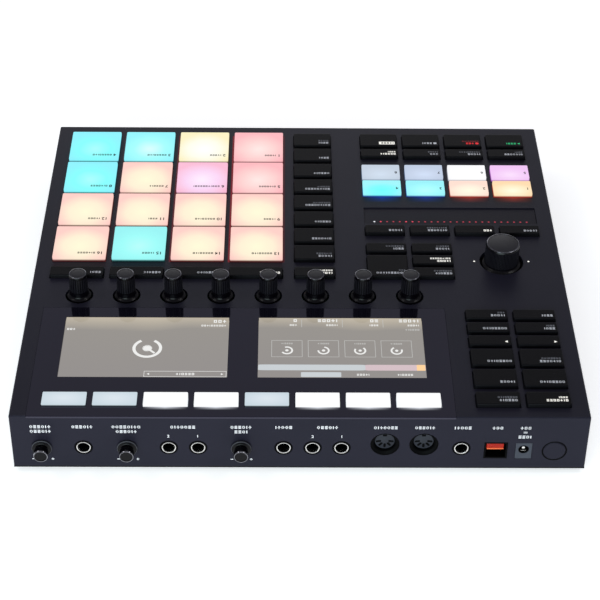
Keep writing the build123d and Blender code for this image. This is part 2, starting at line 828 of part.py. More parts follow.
# Square data socket with its tongue
usb_cavity_depth = usb_depth - usb_floor
with BuildPart() as usb_socket:
    with BuildSketch(across(rear_y)):
        with Locations((rear_x["usb"], usb_z)):
            Rectangle(usb_width, usb_tall)
    extrude(amount=usb_depth)
    with BuildSketch(across(rear_y)):
        with Locations((rear_x["usb"], usb_z)):
            Rectangle(usb_width - 2 * usb_wall, usb_tall - 2 * usb_wall)
    extrude(amount=usb_cavity_depth, mode=Mode.SUBTRACT)
    with BuildSketch(across(rear_y - usb_cavity_depth)):
        with Locations((rear_x["usb"], usb_z)):
            Rectangle(tongue_width, tongue_tall)
    extrude(amount=tongue_recess - usb_cavity_depth)
    with BuildSketch(Plane.XY.offset(io_top)):
        with Locations((rear_x["usb"], inner_rear)):
            Rectangle(
                usb_width - 2 * usb_wall,
                usb_depth - shell_wall,
                align=(Align.CENTER, Align.MAX),
            )
    extrude(amount=usb_height - usb_tall / 2)
usb_socket.part.label = "usb_socket"
export_step(usb_socket.part, "parts/usb_socket.step")

# Power inlet with its centre pin
inlet_bore_depth = inlet_depth - inlet_floor
inlet_bore_z = inlet_z + inlet_bore_rise
with BuildPart() as power_socket:
    with BuildSketch(across(rear_y)):
        with Locations((rear_x["power_inlet"], inlet_z)):
            Rectangle(inlet_width, inlet_tall)
    extrude(amount=inlet_depth)
    with BuildSketch(across(rear_y)):
        with Locations((rear_x["power_inlet"], inlet_bore_z)):
            Circle(inlet_bore_radius)
    extrude(amount=inlet_bore_depth, mode=Mode.SUBTRACT)
    with BuildSketch(across(rear_y - inlet_bore_depth)):
        with Locations((rear_x["power_inlet"], inlet_bore_z)):
            RegularPolygon(inlet_pin_radius, stem_facets)
    extrude(amount=inlet_pin_recess - inlet_bore_depth)
    with BuildSketch(Plane.XY.offset(io_top)):
        with Locations((rear_x["power_inlet"], inner_rear)):
            Rectangle(inlet_width, inlet_depth - shell_wall, align=(Align.CENTER, Align.MAX))
    extrude(amount=inlet_height - inlet_tall / 2)
power_socket.part.label = "power_socket"
export_step(power_socket.part, "parts/power_socket.step")

# Rear pots: a block on the board, with a pocket for each knob's stem
with BuildPart() as rear_pots:
    with BuildSketch(across(inner_rear)):
        with Locations(*[(rear_x[name], io_top) for name in rear_knob_names]):
            Rectangle(pot_width, socket_height, align=(Align.CENTER, Align.MIN))
    extrude(amount=pot_depth)
    with BuildSketch(across(inner_rear)):
        with Locations(*[(rear_x[name], jack_z) for name in rear_knob_names]):
            Rectangle(
                2 * (rear_knob_stem_radius + shaft_gap), 2 * (rear_knob_stem_radius + shaft_gap)
            )
    extrude(amount=rear_knob_stem_length + rest_gap - shell_wall, mode=Mode.SUBTRACT)
rear_pots.part.label = "rear_pots"
export_step(rear_pots.part, "parts/rear_pots.step")

# Rear knobs: flanged caps on stems that turn in the pots
for knob_name in rear_knob_names:
    place = (rear_x[knob_name], jack_z)
    with BuildPart() as rear_knob:
        with BuildSketch(across(rear_y + rear_knob_reach)):
            with Locations(place):
                fluted_shape(rear_knob_radius, rear_knob_flutes)
        extrude(amount=rear_knob_reach - rear_knob_base_thick)
        chamfer(rear_knob.edges().group_by(Axis.Y)[-1], rear_knob_bevel)
        with BuildSketch(across(rear_y + rear_knob_base_thick)):
            with Locations(place):
                round_shape(rear_knob_base_radius)
        extrude(amount=rear_knob_base_thick - rest_gap)
        with BuildSketch(across(rear_y + rest_gap)):
            with Locations(place):
                Circle(rear_knob_stem_radius)
        extrude(amount=rest_gap + rear_knob_stem_length)
    rear_knob.part.label = knob_name
    export_step(rear_knob.part, f"parts/{knob_name}.step")

# Power button: round cap with a lip behind the wall and a stem to its switch
button_lip_rear = inner_rear - rest_gap
button_stem_end = button_lip_rear - button_lip_thick - button_stem_length
with BuildPart() as power_button:
    with BuildSketch(across(rear_y + button_proud)):
        with Locations((rear_x["power_button"], inlet_z)):
            Circle(button_radius)
    extrude(amount=rear_y + button_proud - button_lip_rear)
    chamfer(power_button.edges().group_by(Axis.Y)[-1], button_bevel)
    with BuildSketch(across(button_lip_rear)):
        with Locations((rear_x["power_button"], inlet_z)):
            Rectangle(2 * (button_radius + button_lip), 2 * (inlet_height - rest_gap))
    extrude(amount=button_lip_thick)
    with BuildSketch(across(button_lip_rear - button_lip_thick)):
        with Locations((rear_x["power_button"], inlet_z)):
            RegularPolygon(button_stem_radius, stem_facets)
    extrude(amount=button_stem_length)
power_button.part.label = "power_button"
export_step(power_button.part, "parts/power_button.step")

# Power switch on the socket board, behind the button's stem
with BuildPart() as power_switch:
    with BuildSketch(across(button_stem_end - button_travel - rest_gap)):
        with Locations((rear_x["power_button"], io_top)):
            Rectangle(power_switch_width, 2 * inlet_height, align=(Align.CENTER, Align.MIN))
    extrude(amount=power_switch_depth)
power_switch.part.label = "power_switch"
export_step(power_switch.part, "parts/power_switch.step")

print("case", case_width, case_depth, top_z - foot_height, "top", top_z, "knob top", top_z + knob_height)
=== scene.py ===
"""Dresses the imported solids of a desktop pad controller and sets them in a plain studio.

The case, its plates and the blocks inside keep their solids and get their finishes. Pads,
keys, knobs, the pictures on the screens and the rear fittings are modelled here, in metres,
each on the body that carries it. +X is the player's right, +Y is the rear, +Z is up.
"""

import json
import logging
import math
from dataclasses import dataclass, field
from enum import Enum
from functools import partial
from itertools import chain
from typing import Callable, Sequence

import bpy
from mathutils import Matrix, Vector

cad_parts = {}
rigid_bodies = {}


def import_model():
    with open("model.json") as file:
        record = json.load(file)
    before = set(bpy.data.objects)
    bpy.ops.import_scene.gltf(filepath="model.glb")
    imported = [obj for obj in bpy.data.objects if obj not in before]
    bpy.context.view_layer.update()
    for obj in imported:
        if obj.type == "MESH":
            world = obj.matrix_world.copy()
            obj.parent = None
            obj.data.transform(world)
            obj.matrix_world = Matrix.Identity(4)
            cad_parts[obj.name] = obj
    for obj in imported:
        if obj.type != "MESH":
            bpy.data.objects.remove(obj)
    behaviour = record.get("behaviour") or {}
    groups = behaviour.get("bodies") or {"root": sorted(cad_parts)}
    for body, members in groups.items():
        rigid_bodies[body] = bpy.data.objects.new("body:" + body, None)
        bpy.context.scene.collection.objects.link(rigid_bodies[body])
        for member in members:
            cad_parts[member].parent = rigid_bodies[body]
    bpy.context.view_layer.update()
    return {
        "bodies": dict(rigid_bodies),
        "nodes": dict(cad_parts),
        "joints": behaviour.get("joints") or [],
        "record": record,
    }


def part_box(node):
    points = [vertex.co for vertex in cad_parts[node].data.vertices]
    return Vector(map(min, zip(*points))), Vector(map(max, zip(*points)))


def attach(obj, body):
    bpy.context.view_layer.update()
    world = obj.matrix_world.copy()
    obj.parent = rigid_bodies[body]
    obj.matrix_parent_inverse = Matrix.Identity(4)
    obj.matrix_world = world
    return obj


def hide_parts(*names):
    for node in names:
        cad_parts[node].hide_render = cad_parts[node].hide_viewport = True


Pair = tuple[float, float]
Triple = tuple[float, float, float]
Piece = bpy.types.Object

LOG = logging.getLogger("pad_controller")
MM = 0.001
SMOOTH_ANGLE = math.radians(38)
BLACK = "#000000"
WHITE = "#ffffff"
CASE = "case"
RIGHT = Vector((1, 0, 0))
REARWARD = Vector((0, 1, 0))
UP = Vector((0, 0, 1))
HAIR = MM / 1000  # points closer than this are one point
LEVEL = 0.999  # a top face's normal rises more than this
STEEP = 0.3  # a wall face's normal rises less than this
CORNER_STEPS = 4  # facets in a cap's upright corners
RIM_STEPS = 3  # facets in a cap's top edge
LIP = 0.9  # width of the hidden skirt round a cap in the solids, in millimetres
SKIRT = Vector((2 * LIP, 2 * LIP, 0)) * MM  # what that skirt adds to a cap's box
PRINT_THICK = 0.04  # thickness of ink, in millimetres
INK_SINK = PRINT_THICK * MM / 2  # how deep ink sits in a cap


def colour(code: str) -> tuple[float, float, float, float]:
    """Turns an sRGB hex value to linear colour.

    Args:
        code: The colour, as in "#28272d".

    Returns:
        Linear red, green and blue, and an alpha of one.
    """
    parts = [int(code[n : n + 2], 16) / 255 for n in (1, 3, 5)]
    red, green, blue = (
        part / 12.92 if part <= 0.04045 else ((part + 0.055) / 1.055) ** 2.4 for part in parts
    )
    return red, green, blue, 1.0


def add_node(
    tree: bpy.types.NodeTree,
    kind: str,
    inputs: dict | None = None,
    stops: Sequence[tuple[float, str]] = (),
    **settings: object,
) -> bpy.types.Node:
    """Adds a node with its settings, its values and its links.

    Args:
        tree: The material's or world's tree.
        kind: The node's type name.
        inputs: A value, or an output to link from, for each named input.
        stops: Places and colours of a colour ramp.
        **settings: The node's own properties.

    Returns:
        The new node.
    """
    node = tree.nodes.new(kind)
    for name, value in settings.items():
        setattr(node, name, value)
    if stops:
        elements = node.color_ramp.elements
        while len(elements) < len(stops):
            elements.new(1.0)
        for element, (place, code) in zip(elements, stops):
            element.position = place
            element.color = colour(code)
    for name, value in (inputs or {}).items():
        if isinstance(value, bpy.types.NodeSocket):
            tree.links.new(value, node.inputs[name])
        else:
            node.inputs[name].default_value = value
    return node


def blank_material(
    name: str, values: dict[str, object]
) -> tuple[bpy.types.Material, bpy.types.NodeTree, bpy.types.Node]:
    """Makes a material with a principled shader and nothing linked to it.

    Args:
        name: The material's name.
        values: Constants for the shader's own sockets.

    Returns:
        The material, its tree and its shader.
    """
    material = bpy.data.materials.new(name)
    material.use_nodes = True
    tree = material.node_tree
    shader = tree.nodes["Principled BSDF"]
    for socket, value in values.items():
        shader.inputs[socket].default_value = value
    return material, tree, shader


@dataclass(frozen=True)
class Moulded:
    """A moulded, painted or rubbery surface: two close tones, a fine grain and a soft sheen."""

    name: str
    tone: str
    second_tone: str
    roughness: float
    grain_mm: float = 0.8  # coarser than on the real part, so that it shows
    grain_depth_mm: float = 0.012
    mottle_mm: float = 45.0
    roughness_spread: float = 0.08
    specular: float = 0.25
    glint: str = WHITE

    def make(self) -> bpy.types.Material:
        """Builds the material.

        Returns:
            The material.
        """
        values = {"Specular IOR Level": self.specular, "Specular Tint": colour(self.glint)}
        material, tree, shader = blank_material(self.name, values)
        place = add_node(tree, "ShaderNodeTexCoord").outputs["Object"]
        mottle = add_node(
            tree,
            "ShaderNodeTexNoise",
            {"Vector": place, "Scale": 1 / (self.mottle_mm * MM), "Detail": 3.0},
        )
        tones = add_node(
            tree,
            "ShaderNodeValToRGB",
            {"Fac": mottle.outputs["Fac"]},
            stops=((0.3, self.second_tone), (0.7, self.tone)),
        )
        grain = add_node(
            tree,
            "ShaderNodeTexNoise",
            {"Vector": place, "Scale": 1 / (self.grain_mm * MM), "Detail": 2.0},
        )
        rough = add_node(
            tree,
            "ShaderNodeMapRange",
            {
                "Value": grain.outputs["Fac"],
                "To Min": self.roughness - self.roughness_spread,
                "To Max": self.roughness + self.roughness_spread,
            },
        )
        bump = add_node(
            tree,
            "ShaderNodeBump",
            {
                "Height": grain.outputs["Fac"],
                "Strength": 1.0,
                "Distance": self.grain_depth_mm * MM,
            },
        )
        tree.links.new(tones.outputs["Color"], shader.inputs["Base Color"])
        tree.links.new(rough.outputs["Result"], shader.inputs["Roughness"])
        tree.links.new(bump.outputs["Normal"], shader.inputs["Normal"])
        return material


@dataclass(frozen=True)
class LightSpill:
    """Coloured light that lit caps throw on the plate beside them.

    Attributes:
        across: Places along X, in metres, and the light there.
        along: Places along Y, in metres, and the share of that light there, as a grey.
    """

    across: Sequence[tuple[float, str]]
    along: Sequence[tuple[float, str]]

    def throw_on(self, material: bpy.types.Material) -> None:
        """Adds the light to the plate's material, over any that is there already.

        Args:
            material: The plate's material.
        """
        tree = material.node_tree
        place = add_node(tree, "ShaderNodeTexCoord").outputs["Object"]
        axes = add_node(tree, "ShaderNodeSeparateXYZ", {"Vector": place}).outputs
        ramps = []
        for axis, steps in (("X", self.across), ("Y", self.along)):
            start, end = steps[0][0], steps[-1][0]
            share = add_node(
                tree,
                "ShaderNodeMapRange",
                {"Value": axes[axis], "From Min": start, "From Max": end},
            )
            ramp = add_node(
                tree,
                "ShaderNodeValToRGB",
                {"Fac": share.outputs["Result"]},
                stops=[((spot - start) / (end - start), tone) for spot, tone in steps],
            )
            ramps.append(ramp.outputs["Color"])
        light = add_node(
            tree, "ShaderNodeVectorMath", dict(enumerate(ramps)), operation="MULTIPLY"
        )
        shader = tree.nodes["Principled BSDF"]
        emission = shader.inputs["Emission Color"]
        if emission.is_linked:
            both = {0: light.outputs["Vector"], 1: emission.links[0].from_socket}
            light = add_node(tree, "ShaderNodeVectorMath", both, operation="ADD")
        tree.links.new(light.outputs["Vector"], emission)
        shader.inputs["Emission Strength"].default_value = 1.0


@dataclass(frozen=True)
class Plated:
    """A plated or ground metal: bright, with faint wear in its gloss."""

    name: str
    tone: str
    second_tone: str
    roughness: float
    wear_mm: float = 2.0
    wear_spread: float = 0.3  # share by which its roughness varies

    def make(self) -> bpy.types.Material:
        """Builds the material.

        Returns:
            The material.
        """
        material, tree, shader = blank_material(self.name, {"Metallic": 1.0})
        place = add_node(tree, "ShaderNodeTexCoord").outputs["Object"]
        wear = add_node(
            tree,
            "ShaderNodeTexNoise",
            {"Vector": place, "Scale": 1 / (self.wear_mm * MM), "Detail": 4.0},
        )
        tones = add_node(
            tree,
            "ShaderNodeValToRGB",
            {"Fac": wear.outputs["Fac"]},
            stops=((0.35, self.second_tone), (0.6, self.tone)),
        )
        rough = add_node(
            tree,
            "ShaderNodeMapRange",
            {
                "Value": wear.outputs["Fac"],
                "To Min": self.roughness * (1 - self.wear_spread),
                "To Max": self.roughness * (1 + self.wear_spread),
            },
        )
        tree.links.new(tones.outputs["Color"], shader.inputs["Base Color"])
        tree.links.new(rough.outputs["Result"], shader.inputs["Roughness"])
        return material


@dataclass(frozen=True)
class LitSilicone:
    """Milky silicone lit from below: palest over its lamp, deeper in colour towards its edge."""

    name: str
    centre: str
    middle: str
    edge: str
    # painted shade: the tone its light darkens to at the foot of its wall
    foot: str = "#3a1210"
    glow: float = 0.98
    # painted shade: the depths over which the wall darkens towards its foot
    foot_mm: Pair = (2.7, 1.5)  # it darkens between these depths
    spread: float = 1.25  # how far its light reaches, in half widths
    haze_mm: float = 9.0
    haze_share: float = 0.12
    body: str = "#2b2b2d"
    roughness: float = 0.5
    specular: float = 0.2

    def make(self, place: Vector, reach: Vector) -> bpy.types.Material:
        """Builds the material for one cap.

        Args:
            place: The middle of the cap's top, where its lamp shines.
            reach: Half the cap's width and length, in metres.

        Returns:
            The material.
        """
        values = {
            "Base Color": colour(self.body),
            "Roughness": self.roughness,
            "Specular IOR Level": self.specular,
            "Emission Strength": self.glow,
        }
        material, tree, shader = blank_material(self.name, values)
        coords = add_node(tree, "ShaderNodeTexCoord").outputs["Object"]
        scale = Vector((1 / reach.x, 1 / reach.y, 0)) / self.spread
        offset = Vector((-place.x * scale.x, -place.y * scale.y, 0))
        centred = add_node(
            tree, "ShaderNodeMapping", {"Vector": coords, "Location": offset, "Scale": scale}
        )
        distance = add_node(
            tree, "ShaderNodeVectorMath", {0: centred.outputs["Vector"]}, operation="LENGTH"
        )
        haze = add_node(
            tree,
            "ShaderNodeTexNoise",
            {"Vector": coords, "Scale": 1 / (self.haze_mm * MM), "Detail": 1.0},
        )
        spread = add_node(
            tree,
            "ShaderNodeMath",
            {0: haze.outputs["Fac"], 1: self.haze_share, 2: distance.outputs["Value"]},
            operation="MULTIPLY_ADD",
        )
        light = add_node(
            tree,
            "ShaderNodeValToRGB",
            {"Fac": spread.outputs["Value"]},
            stops=((0.12, self.centre), (0.58, self.middle), (1.0, self.edge)),
        )
        # Painted shade: the light darkens down the wall towards its foot
        height = add_node(tree, "ShaderNodeSeparateXYZ", {"Vector": coords})
        low, high = self.foot_mm
        rise = add_node(
            tree,
            "ShaderNodeMapRange",
            {
                "Value": height.outputs["Z"],
                "From Min": place.z - low * MM,
                "From Max": place.z - high * MM,
            },
        )
        shade = add_node(
            tree,
            "ShaderNodeValToRGB",
            {"Fac": rise.outputs["Result"]},
            stops=((0.0, self.foot), (1.0, WHITE)),
        )
        shaded = add_node(
            tree,
            "ShaderNodeVectorMath",
            {0: light.outputs["Color"], 1: shade.outputs["Color"]},
            operation="MULTIPLY",
        )
        tree.links.new(shaded.outputs["Vector"], shader.inputs["Emission Color"])
        return material


@dataclass(frozen=True)
class Ink:
    """Screen-printed ink, or a legend cut through to the lamp below it when it glows."""

    name: str
    tone: str
    glow: float = 0.0
    film: str = "#202022"  # what a glowing legend is cut through
    grain_mm: float = 0.6  # coarser than a real print's, so that it shows
    roughness: Pair = (0.45, 0.65)
    specular: float = 0.2

    def make(self) -> bpy.types.Material:
        """Builds the material.

        Returns:
            The material.
        """
        values = {
            "Base Color": colour(self.film if self.glow else self.tone),
            "Specular IOR Level": self.specular,
        }
        if self.glow:
            values |= {"Emission Color": colour(self.tone), "Emission Strength": self.glow}
        material, tree, shader = blank_material(self.name, values)
        place = add_node(tree, "ShaderNodeTexCoord").outputs["Object"]
        cover = add_node(
            tree,
            "ShaderNodeTexNoise",
            {"Vector": place, "Scale": 1 / (self.grain_mm * MM), "Detail": 2.0},
        )
        low, high = self.roughness
        rough = add_node(
            tree,
            "ShaderNodeMapRange",
            {"Value": cover.outputs["Fac"], "To Min": low, "To Max": high},
        )
        tree.links.new(rough.outputs["Result"], shader.inputs["Roughness"])
        return material


@dataclass(frozen=True)
class ScreenGlass:
    """A lit screen behind clear plastic: a pale grey that turns warm along its front edge."""

    name: str
    rear_tone: str
    middle_tone: str
    front_tone: str
    glow: float
    cloud_mm: float = 60.0
    cloud_share: float = 0.25
    body: str = "#101013"
    roughness: float = 0.08
    specular: float = 1.0
    coat: float = 0.5
    coat_ior: float = 1.6

    def make(self, front: float, rear: float) -> bpy.types.Material:
        """Builds the material.

        Args:
            front: The picture's front edge along Y, in metres.
            rear: The picture's rear edge along Y, in metres.

        Returns:
            The material.
        """
        values = {
            "Base Color": colour(self.body),
            "Roughness": self.roughness,
            "Specular IOR Level": self.specular,
            "Coat Weight": self.coat,
            "Coat IOR": self.coat_ior,
            "Emission Strength": self.glow,
        }
        material, tree, shader = blank_material(self.name, values)
        coords = add_node(tree, "ShaderNodeTexCoord").outputs["Object"]
        along = add_node(tree, "ShaderNodeSeparateXYZ", {"Vector": coords})
        share = add_node(
            tree,
            "ShaderNodeMapRange",
            {"Value": along.outputs["Y"], "From Min": front, "From Max": rear},
        )
        cloud = add_node(
            tree,
            "ShaderNodeTexNoise",
            {"Vector": coords, "Scale": 1 / (self.cloud_mm * MM), "Detail": 1.0},
        )
        mixed = add_node(
            tree,
            "ShaderNodeMath",
            {0: cloud.outputs["Fac"], 1: self.cloud_share, 2: share.outputs["Result"]},
            operation="MULTIPLY_ADD",
        )
        light = add_node(
            tree,
            "ShaderNodeValToRGB",
            {"Fac": mixed.outputs["Value"]},
            stops=((0.1, self.front_tone), (0.34, self.middle_tone), (1.0, self.rear_tone)),
        )
        tree.links.new(light.outputs["Color"], shader.inputs["Emission Color"])
        return material


# ABS, moulded against a fine-spark tool: charcoal with a blue cast and a soft, even sheen
CASE_FINISH = Moulded(
    "case_moulded_abs", "#1d1b26", "#191822", 0.44, specular=0.18, glint="#e6eaff"
)
# Acrylic sheet, cast and polished: black that mirrors what stands on it
PANEL_FINISH = Moulded(
    "panel_polished_acrylic",
    "#0c0a14",
    "#0a0811",
    roughness=0.07,
    grain_mm=1.5,
    grain_depth_mm=0.001,
    roughness_spread=0.02,
    specular=0.8,
    glint="#e0deff",
)
# Steel sheet under baked black lacquer: darker than the case, with a faint orange peel
BASE_FINISH = Moulded("base_lacquered_steel", "#101014", "#0c0c10", 0.45, 1.4, 0.02, specular=0.2)
# Polycarbonate with a matt black film: nearly no shine, so that the legends stand out
KEY_FINISH = Moulded("key_film_polycarbonate", "#0b0a0e", "#08080b", 0.5, 0.7, 0.008, specular=0.09)
# ABS under soft-touch paint: black, with thin grey lines of light along its flutes
KNOB_FINISH = Moulded("knob_soft_touch_paint", "#030205", "#020104", 0.3, 0.5, 0.004, specular=0.16)
# The same paint made greyer on the fluted band: a painted sheen on the crests between the flutes
RIB_FINISH = Moulded("knob_paint_painted_sheen", "#19181d", "#151419", 0.32, 0.5, 0.004, specular=0.18)
# ABS under satin lacquer: the paler disc on top of a knob
KNOB_TOP_FINISH = Moulded(
    "knob_top_satin_lacquer", "#1c1b21", "#17161b", 0.4, 0.5, 0.006, specular=0.3
)
# The same lacquer painted pale in a ring along the edge of a flange: a painted highlight
KNOB_EDGE_HIGHLIGHT = Moulded("knob_edge_painted_highlight", "#4a4a50", "#3e3e44", 0.36, 0.5, 0.006)
# Aluminium, turned and polished: glints round a knob's edge
RIM_FINISH = Plated("rim_polished_aluminium", "#8e8e94", "#74747a", 0.14)
# Nickel, plated black: a dark edge with two small glints
DARK_RIM_FINISH = Plated("rim_black_nickel", "#6c6c72", "#545459", 0.16)
# Nylon, moulded dull black: swallows the light in bushes and bores; a flat ring of it over the gap
# round the power button, and blocks of it on the five-pole faces, are painted shade
SOCKET_FINISH = Moulded(
    "socket_moulded_nylon", "#030304", "#020203", 0.6, 0.5, 0.004, specular=0.05
)
# Nylon filled with glass, moulded: a slate grey face, duller than its funnel's edge
INSULATOR_FINISH = Moulded("insulator_filled_nylon", "#282a32", "#22242b", 0.45, 0.6, 0.008)
# Nylon, moulded in red: a strong, slightly glossy tongue in the data socket
TONGUE_FINISH = Moulded("tongue_moulded_nylon", "#bc200a", "#a41a06", 0.3, 0.6, 0.006)
# The same nylon painted paler on a thin bar along the tongue's lower edge: a painted highlight
TONGUE_HIGHLIGHT_FINISH = Moulded("tongue_painted_highlight", "#f87848", "#f06a3c", 0.3, 0.6, 0.006)
# Nylon, moulded in mid grey: a matt square frame, paler than the wall round it
INLET_FINISH = Moulded("inlet_moulded_nylon", "#41444d", "#3a3d46", 0.5, 0.6, 0.01)
# Polyester film over the touch sensor: hardly told from the case, with a little less sheen
STRIP_FINISH = Moulded("strip_polyester_film", "#1e1c26", "#1b1a23", 0.5, 0.9, 0.004, specular=0.14)
# Glass-fibre board under solder mask: an even green with a low gloss
BOARD_FINISH = Moulded("board_solder_mask", "#124a30", "#0f3f28", 0.35, 0.6, 0.006)
# Nylon, moulded in black: matt switches, encoders and rings inside the case
INNER_FINISH = Moulded("inner_moulded_nylon", "#1a1a1c", "#141416", 0.5, 0.6, 0.01)
# Rubber, pressed: dull black feet
FOOT_FINISH = Moulded("foot_pressed_rubber", "#0f0f10", "#0b0b0c", 0.75, 0.6, 0.02)
# Brass under nickel plate: bright rings round the jacks
RING_FINISH = Plated("ring_nickel_plate", "#f2f0ec", "#e2e0dc", 0.22)
# Steel under black zinc: dull dark screws
SCREW_FINISH = Plated("screw_black_zinc", "#4a4a4d", "#3a3a3d", 0.35)
# Steel, ground: a bright shaft with a silky gloss
SHAFT_FINISH = Plated("shaft_ground_steel", "#b7b7ba", "#9c9ca0", 0.25)


@dataclass(frozen=True)
class Box:
    """The lowest and highest corner of a solid, in metres."""

    low: Vector
    high: Vector

    @property
    def centre(self) -> Vector:
        """The middle of the box."""
        return (self.low + self.high) / 2

    @property
    def size(self) -> Vector:
        """The box's width, length and height."""
        return self.high - self.low

    @property
    def top(self) -> Vector:
        """The middle of the box's top."""
        return Vector((self.centre.x, self.centre.y, self.high.z))

    @property
    def foot(self) -> Vector:
        """The middle of the box's underside."""
        return Vector((self.centre.x, self.centre.y, self.low.z))


def node_box(node: str) -> Box:
    """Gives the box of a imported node."""
    return Box(*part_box(node))


def loose_boxes(frame: dict, node: str) -> list[Box]:
    """Finds the separate solids of a node.

    Args:
        frame: The loaded frame.
        node: The node's name.

    Returns:
        Their boxes, from the rear to the front and then from left to right.
    """
    mesh = frame["nodes"][node].data
    owner: dict[tuple, tuple] = {}

    def root(point: tuple) -> tuple:
        """Follows a point to the one that stands for its solid.

        Args:
            point: A corner of the mesh.

        Returns:
            The corner that stands for the solid.
        """
        while owner.setdefault(point, point) != point:
            owner[point] = owner[owner[point]]
            point = owner[point]
        return point

    points = [tuple(round(part, 6) for part in vertex.co) for vertex in mesh.vertices]
    for face in mesh.polygons:
        first, *others = (points[n] for n in face.vertices)
        for other in others:
            owner[root(other)] = root(first)
    groups: dict[tuple, list[tuple]] = {}
    for point in set(points):
        groups.setdefault(root(point), []).append(point)
    boxes = []
    for group in groups.values():
        axes = list(zip(*group))
        low, high = (Vector([pick(axis) for axis in axes]) for pick in (min, max))
        boxes.append(Box(low, high))
    return sorted(boxes, key=lambda box: (-round(box.centre.y, 4), box.centre.x))


class Element(Enum):
    """What an edit-mode step selects."""

    EDGES = "edges"
    FACES = "faces"


def clear_selection() -> None:
    """Goes to object mode and deselects everything."""
    if bpy.context.object and bpy.context.object.mode != "OBJECT":
        bpy.ops.object.mode_set(mode="OBJECT")
    bpy.ops.object.select_all(action="DESELECT")


def take(piece: Piece) -> None:
    """Selects one piece and makes it the active one.

    Args:
        piece: The piece.
    """
    clear_selection()
    piece.select_set(True)
    bpy.context.view_layer.objects.active = piece


def rework(
    piece: Piece,
    element: Element,
    choose: Callable[[bpy.types.Mesh, object], bool],
    work: Callable[[], object],
) -> None:
    """Selects faces or edges of a piece by a test and works on them in edit mode.

    Args:
        piece: The piece.
        element: Whether faces or edges are chosen.
        choose: The test, given the mesh and the face or edge.
        work: The edit operators to run.
    """
    take(piece)
    mesh = piece.data
    bpy.context.tool_settings.mesh_select_mode = (
        False,
        element is Element.EDGES,
        element is Element.FACES,
    )
    for group in (mesh.vertices, mesh.edges, mesh.polygons):
        group.foreach_set("select", [False] * len(group))
    for item in mesh.edges if element is Element.EDGES else mesh.polygons:
        item.select = choose(mesh, item)
    bpy.ops.object.mode_set(mode="EDIT")
    work()
    bpy.ops.object.mode_set(mode="OBJECT")


def settle(piece: Piece) -> Piece:
    """Puts a piece's place into its mesh and smooths its soft edges.

    Args:
        piece: The piece.

    Returns:
        The piece.
    """
    take(piece)
    bpy.ops.object.transform_apply(location=True, rotation=True, scale=True)
    bpy.ops.object.shade_smooth_by_angle(angle=SMOOTH_ANGLE)
    return piece


def named(name: str) -> Piece:
    """Names the active piece and its mesh.

    Args:
        name: The name for both.

    Returns:
        The piece.
    """
    piece = bpy.context.object
    piece.name = name
    piece.data.name = name
    return piece


def rounded_block(name: str, size: Vector, corner: float, rim: float) -> Piece:
    """Models a moulded cap: rounded corners, a rounded rim and a flat top.

    Args:
        name: The piece's name.
        size: Width, length and height, in metres.
        corner: Radius of the upright corners, in millimetres.
        rim: Radius of the top edge, in millimetres.

    Returns:
        The cap, standing on the origin.
    """
    clear_selection()
    bpy.ops.mesh.primitive_cube_add(size=1, location=(0, 0, size.z / 2))
    cap = named(name)
    cap.scale = size
    bpy.ops.object.transform_apply(location=True, rotation=True, scale=True)
    top = max(vertex.co.z for vertex in cap.data.vertices)

    def upright(mesh: bpy.types.Mesh, edge: bpy.types.MeshEdge) -> bool:
        """Tells whether an edge stands up."""
        first, second = (mesh.vertices[n].co for n in edge.vertices)
        return abs(first.z - second.z) > size.z / 2

    def on_rim(mesh: bpy.types.Mesh, edge: bpy.types.MeshEdge) -> bool:
        """Tells whether an edge lies round the top."""
        return all(mesh.vertices[n].co.z > top - HAIR for n in edge.vertices)

    rounds = ((upright, corner, CORNER_STEPS), (on_rim, rim, RIM_STEPS))
    for chosen, radius, segments in rounds:
        bevel = partial(
            bpy.ops.mesh.bevel, offset=radius * MM, segments=segments, affect="EDGES"
        )
        rework(cap, Element.EDGES, chosen, bevel)
    rework(
        cap,
        Element.FACES,
        lambda _mesh, face: face.normal.z > LEVEL,
        lambda: bpy.ops.mesh.inset(thickness=rim * MM, depth=0),
    )
    return settle(cap)


def turned(name: str, profile: Sequence[Pair], sides: int, bored: bool = False) -> Piece:
    """Turns a profile about Z, as rings that are extruded and resized one after another.

    Args:
        name: The piece's name.
        profile: Radius and height of each ring, in millimetres, from the underside on.
        sides: How many sides each ring has.
        bored: Whether the profile closes on itself, round an open bore.

    Returns:
        The turned piece, on the Z axis.
    """
    clear_selection()
    radius, height = profile[0]
    bpy.ops.mesh.primitive_circle_add(
        vertices=sides,
        radius=radius * MM,
        fill_type="NOTHING" if bored else "NGON",
        location=(0, 0, height * MM),
    )
    piece = named(name)
    bpy.ops.object.transform_apply(location=True, rotation=True, scale=True)
    bpy.context.tool_settings.mesh_select_mode = (False, bored, not bored)
    bpy.ops.object.mode_set(mode="EDIT")
    bpy.ops.mesh.select_all(action="SELECT")
    for next_radius, next_height in [*profile[1:], *profile[: int(bored)]]:
        bpy.ops.mesh.extrude_region_move(
            TRANSFORM_OT_translate={
                "value": (0, 0, (next_height - height) * MM),
                "orient_type": "GLOBAL",
            }
        )
        growth = next_radius / radius
        bpy.ops.transform.resize(value=(growth, growth, 1), center_override=(0, 0, 0))
        radius, height = next_radius, next_height
    bpy.ops.mesh.select_all(action="SELECT")
    bpy.ops.mesh.remove_doubles(threshold=HAIR)
    bpy.ops.mesh.normals_make_consistent(inside=False)
    bpy.ops.object.mode_set(mode="OBJECT")
    return settle(piece)


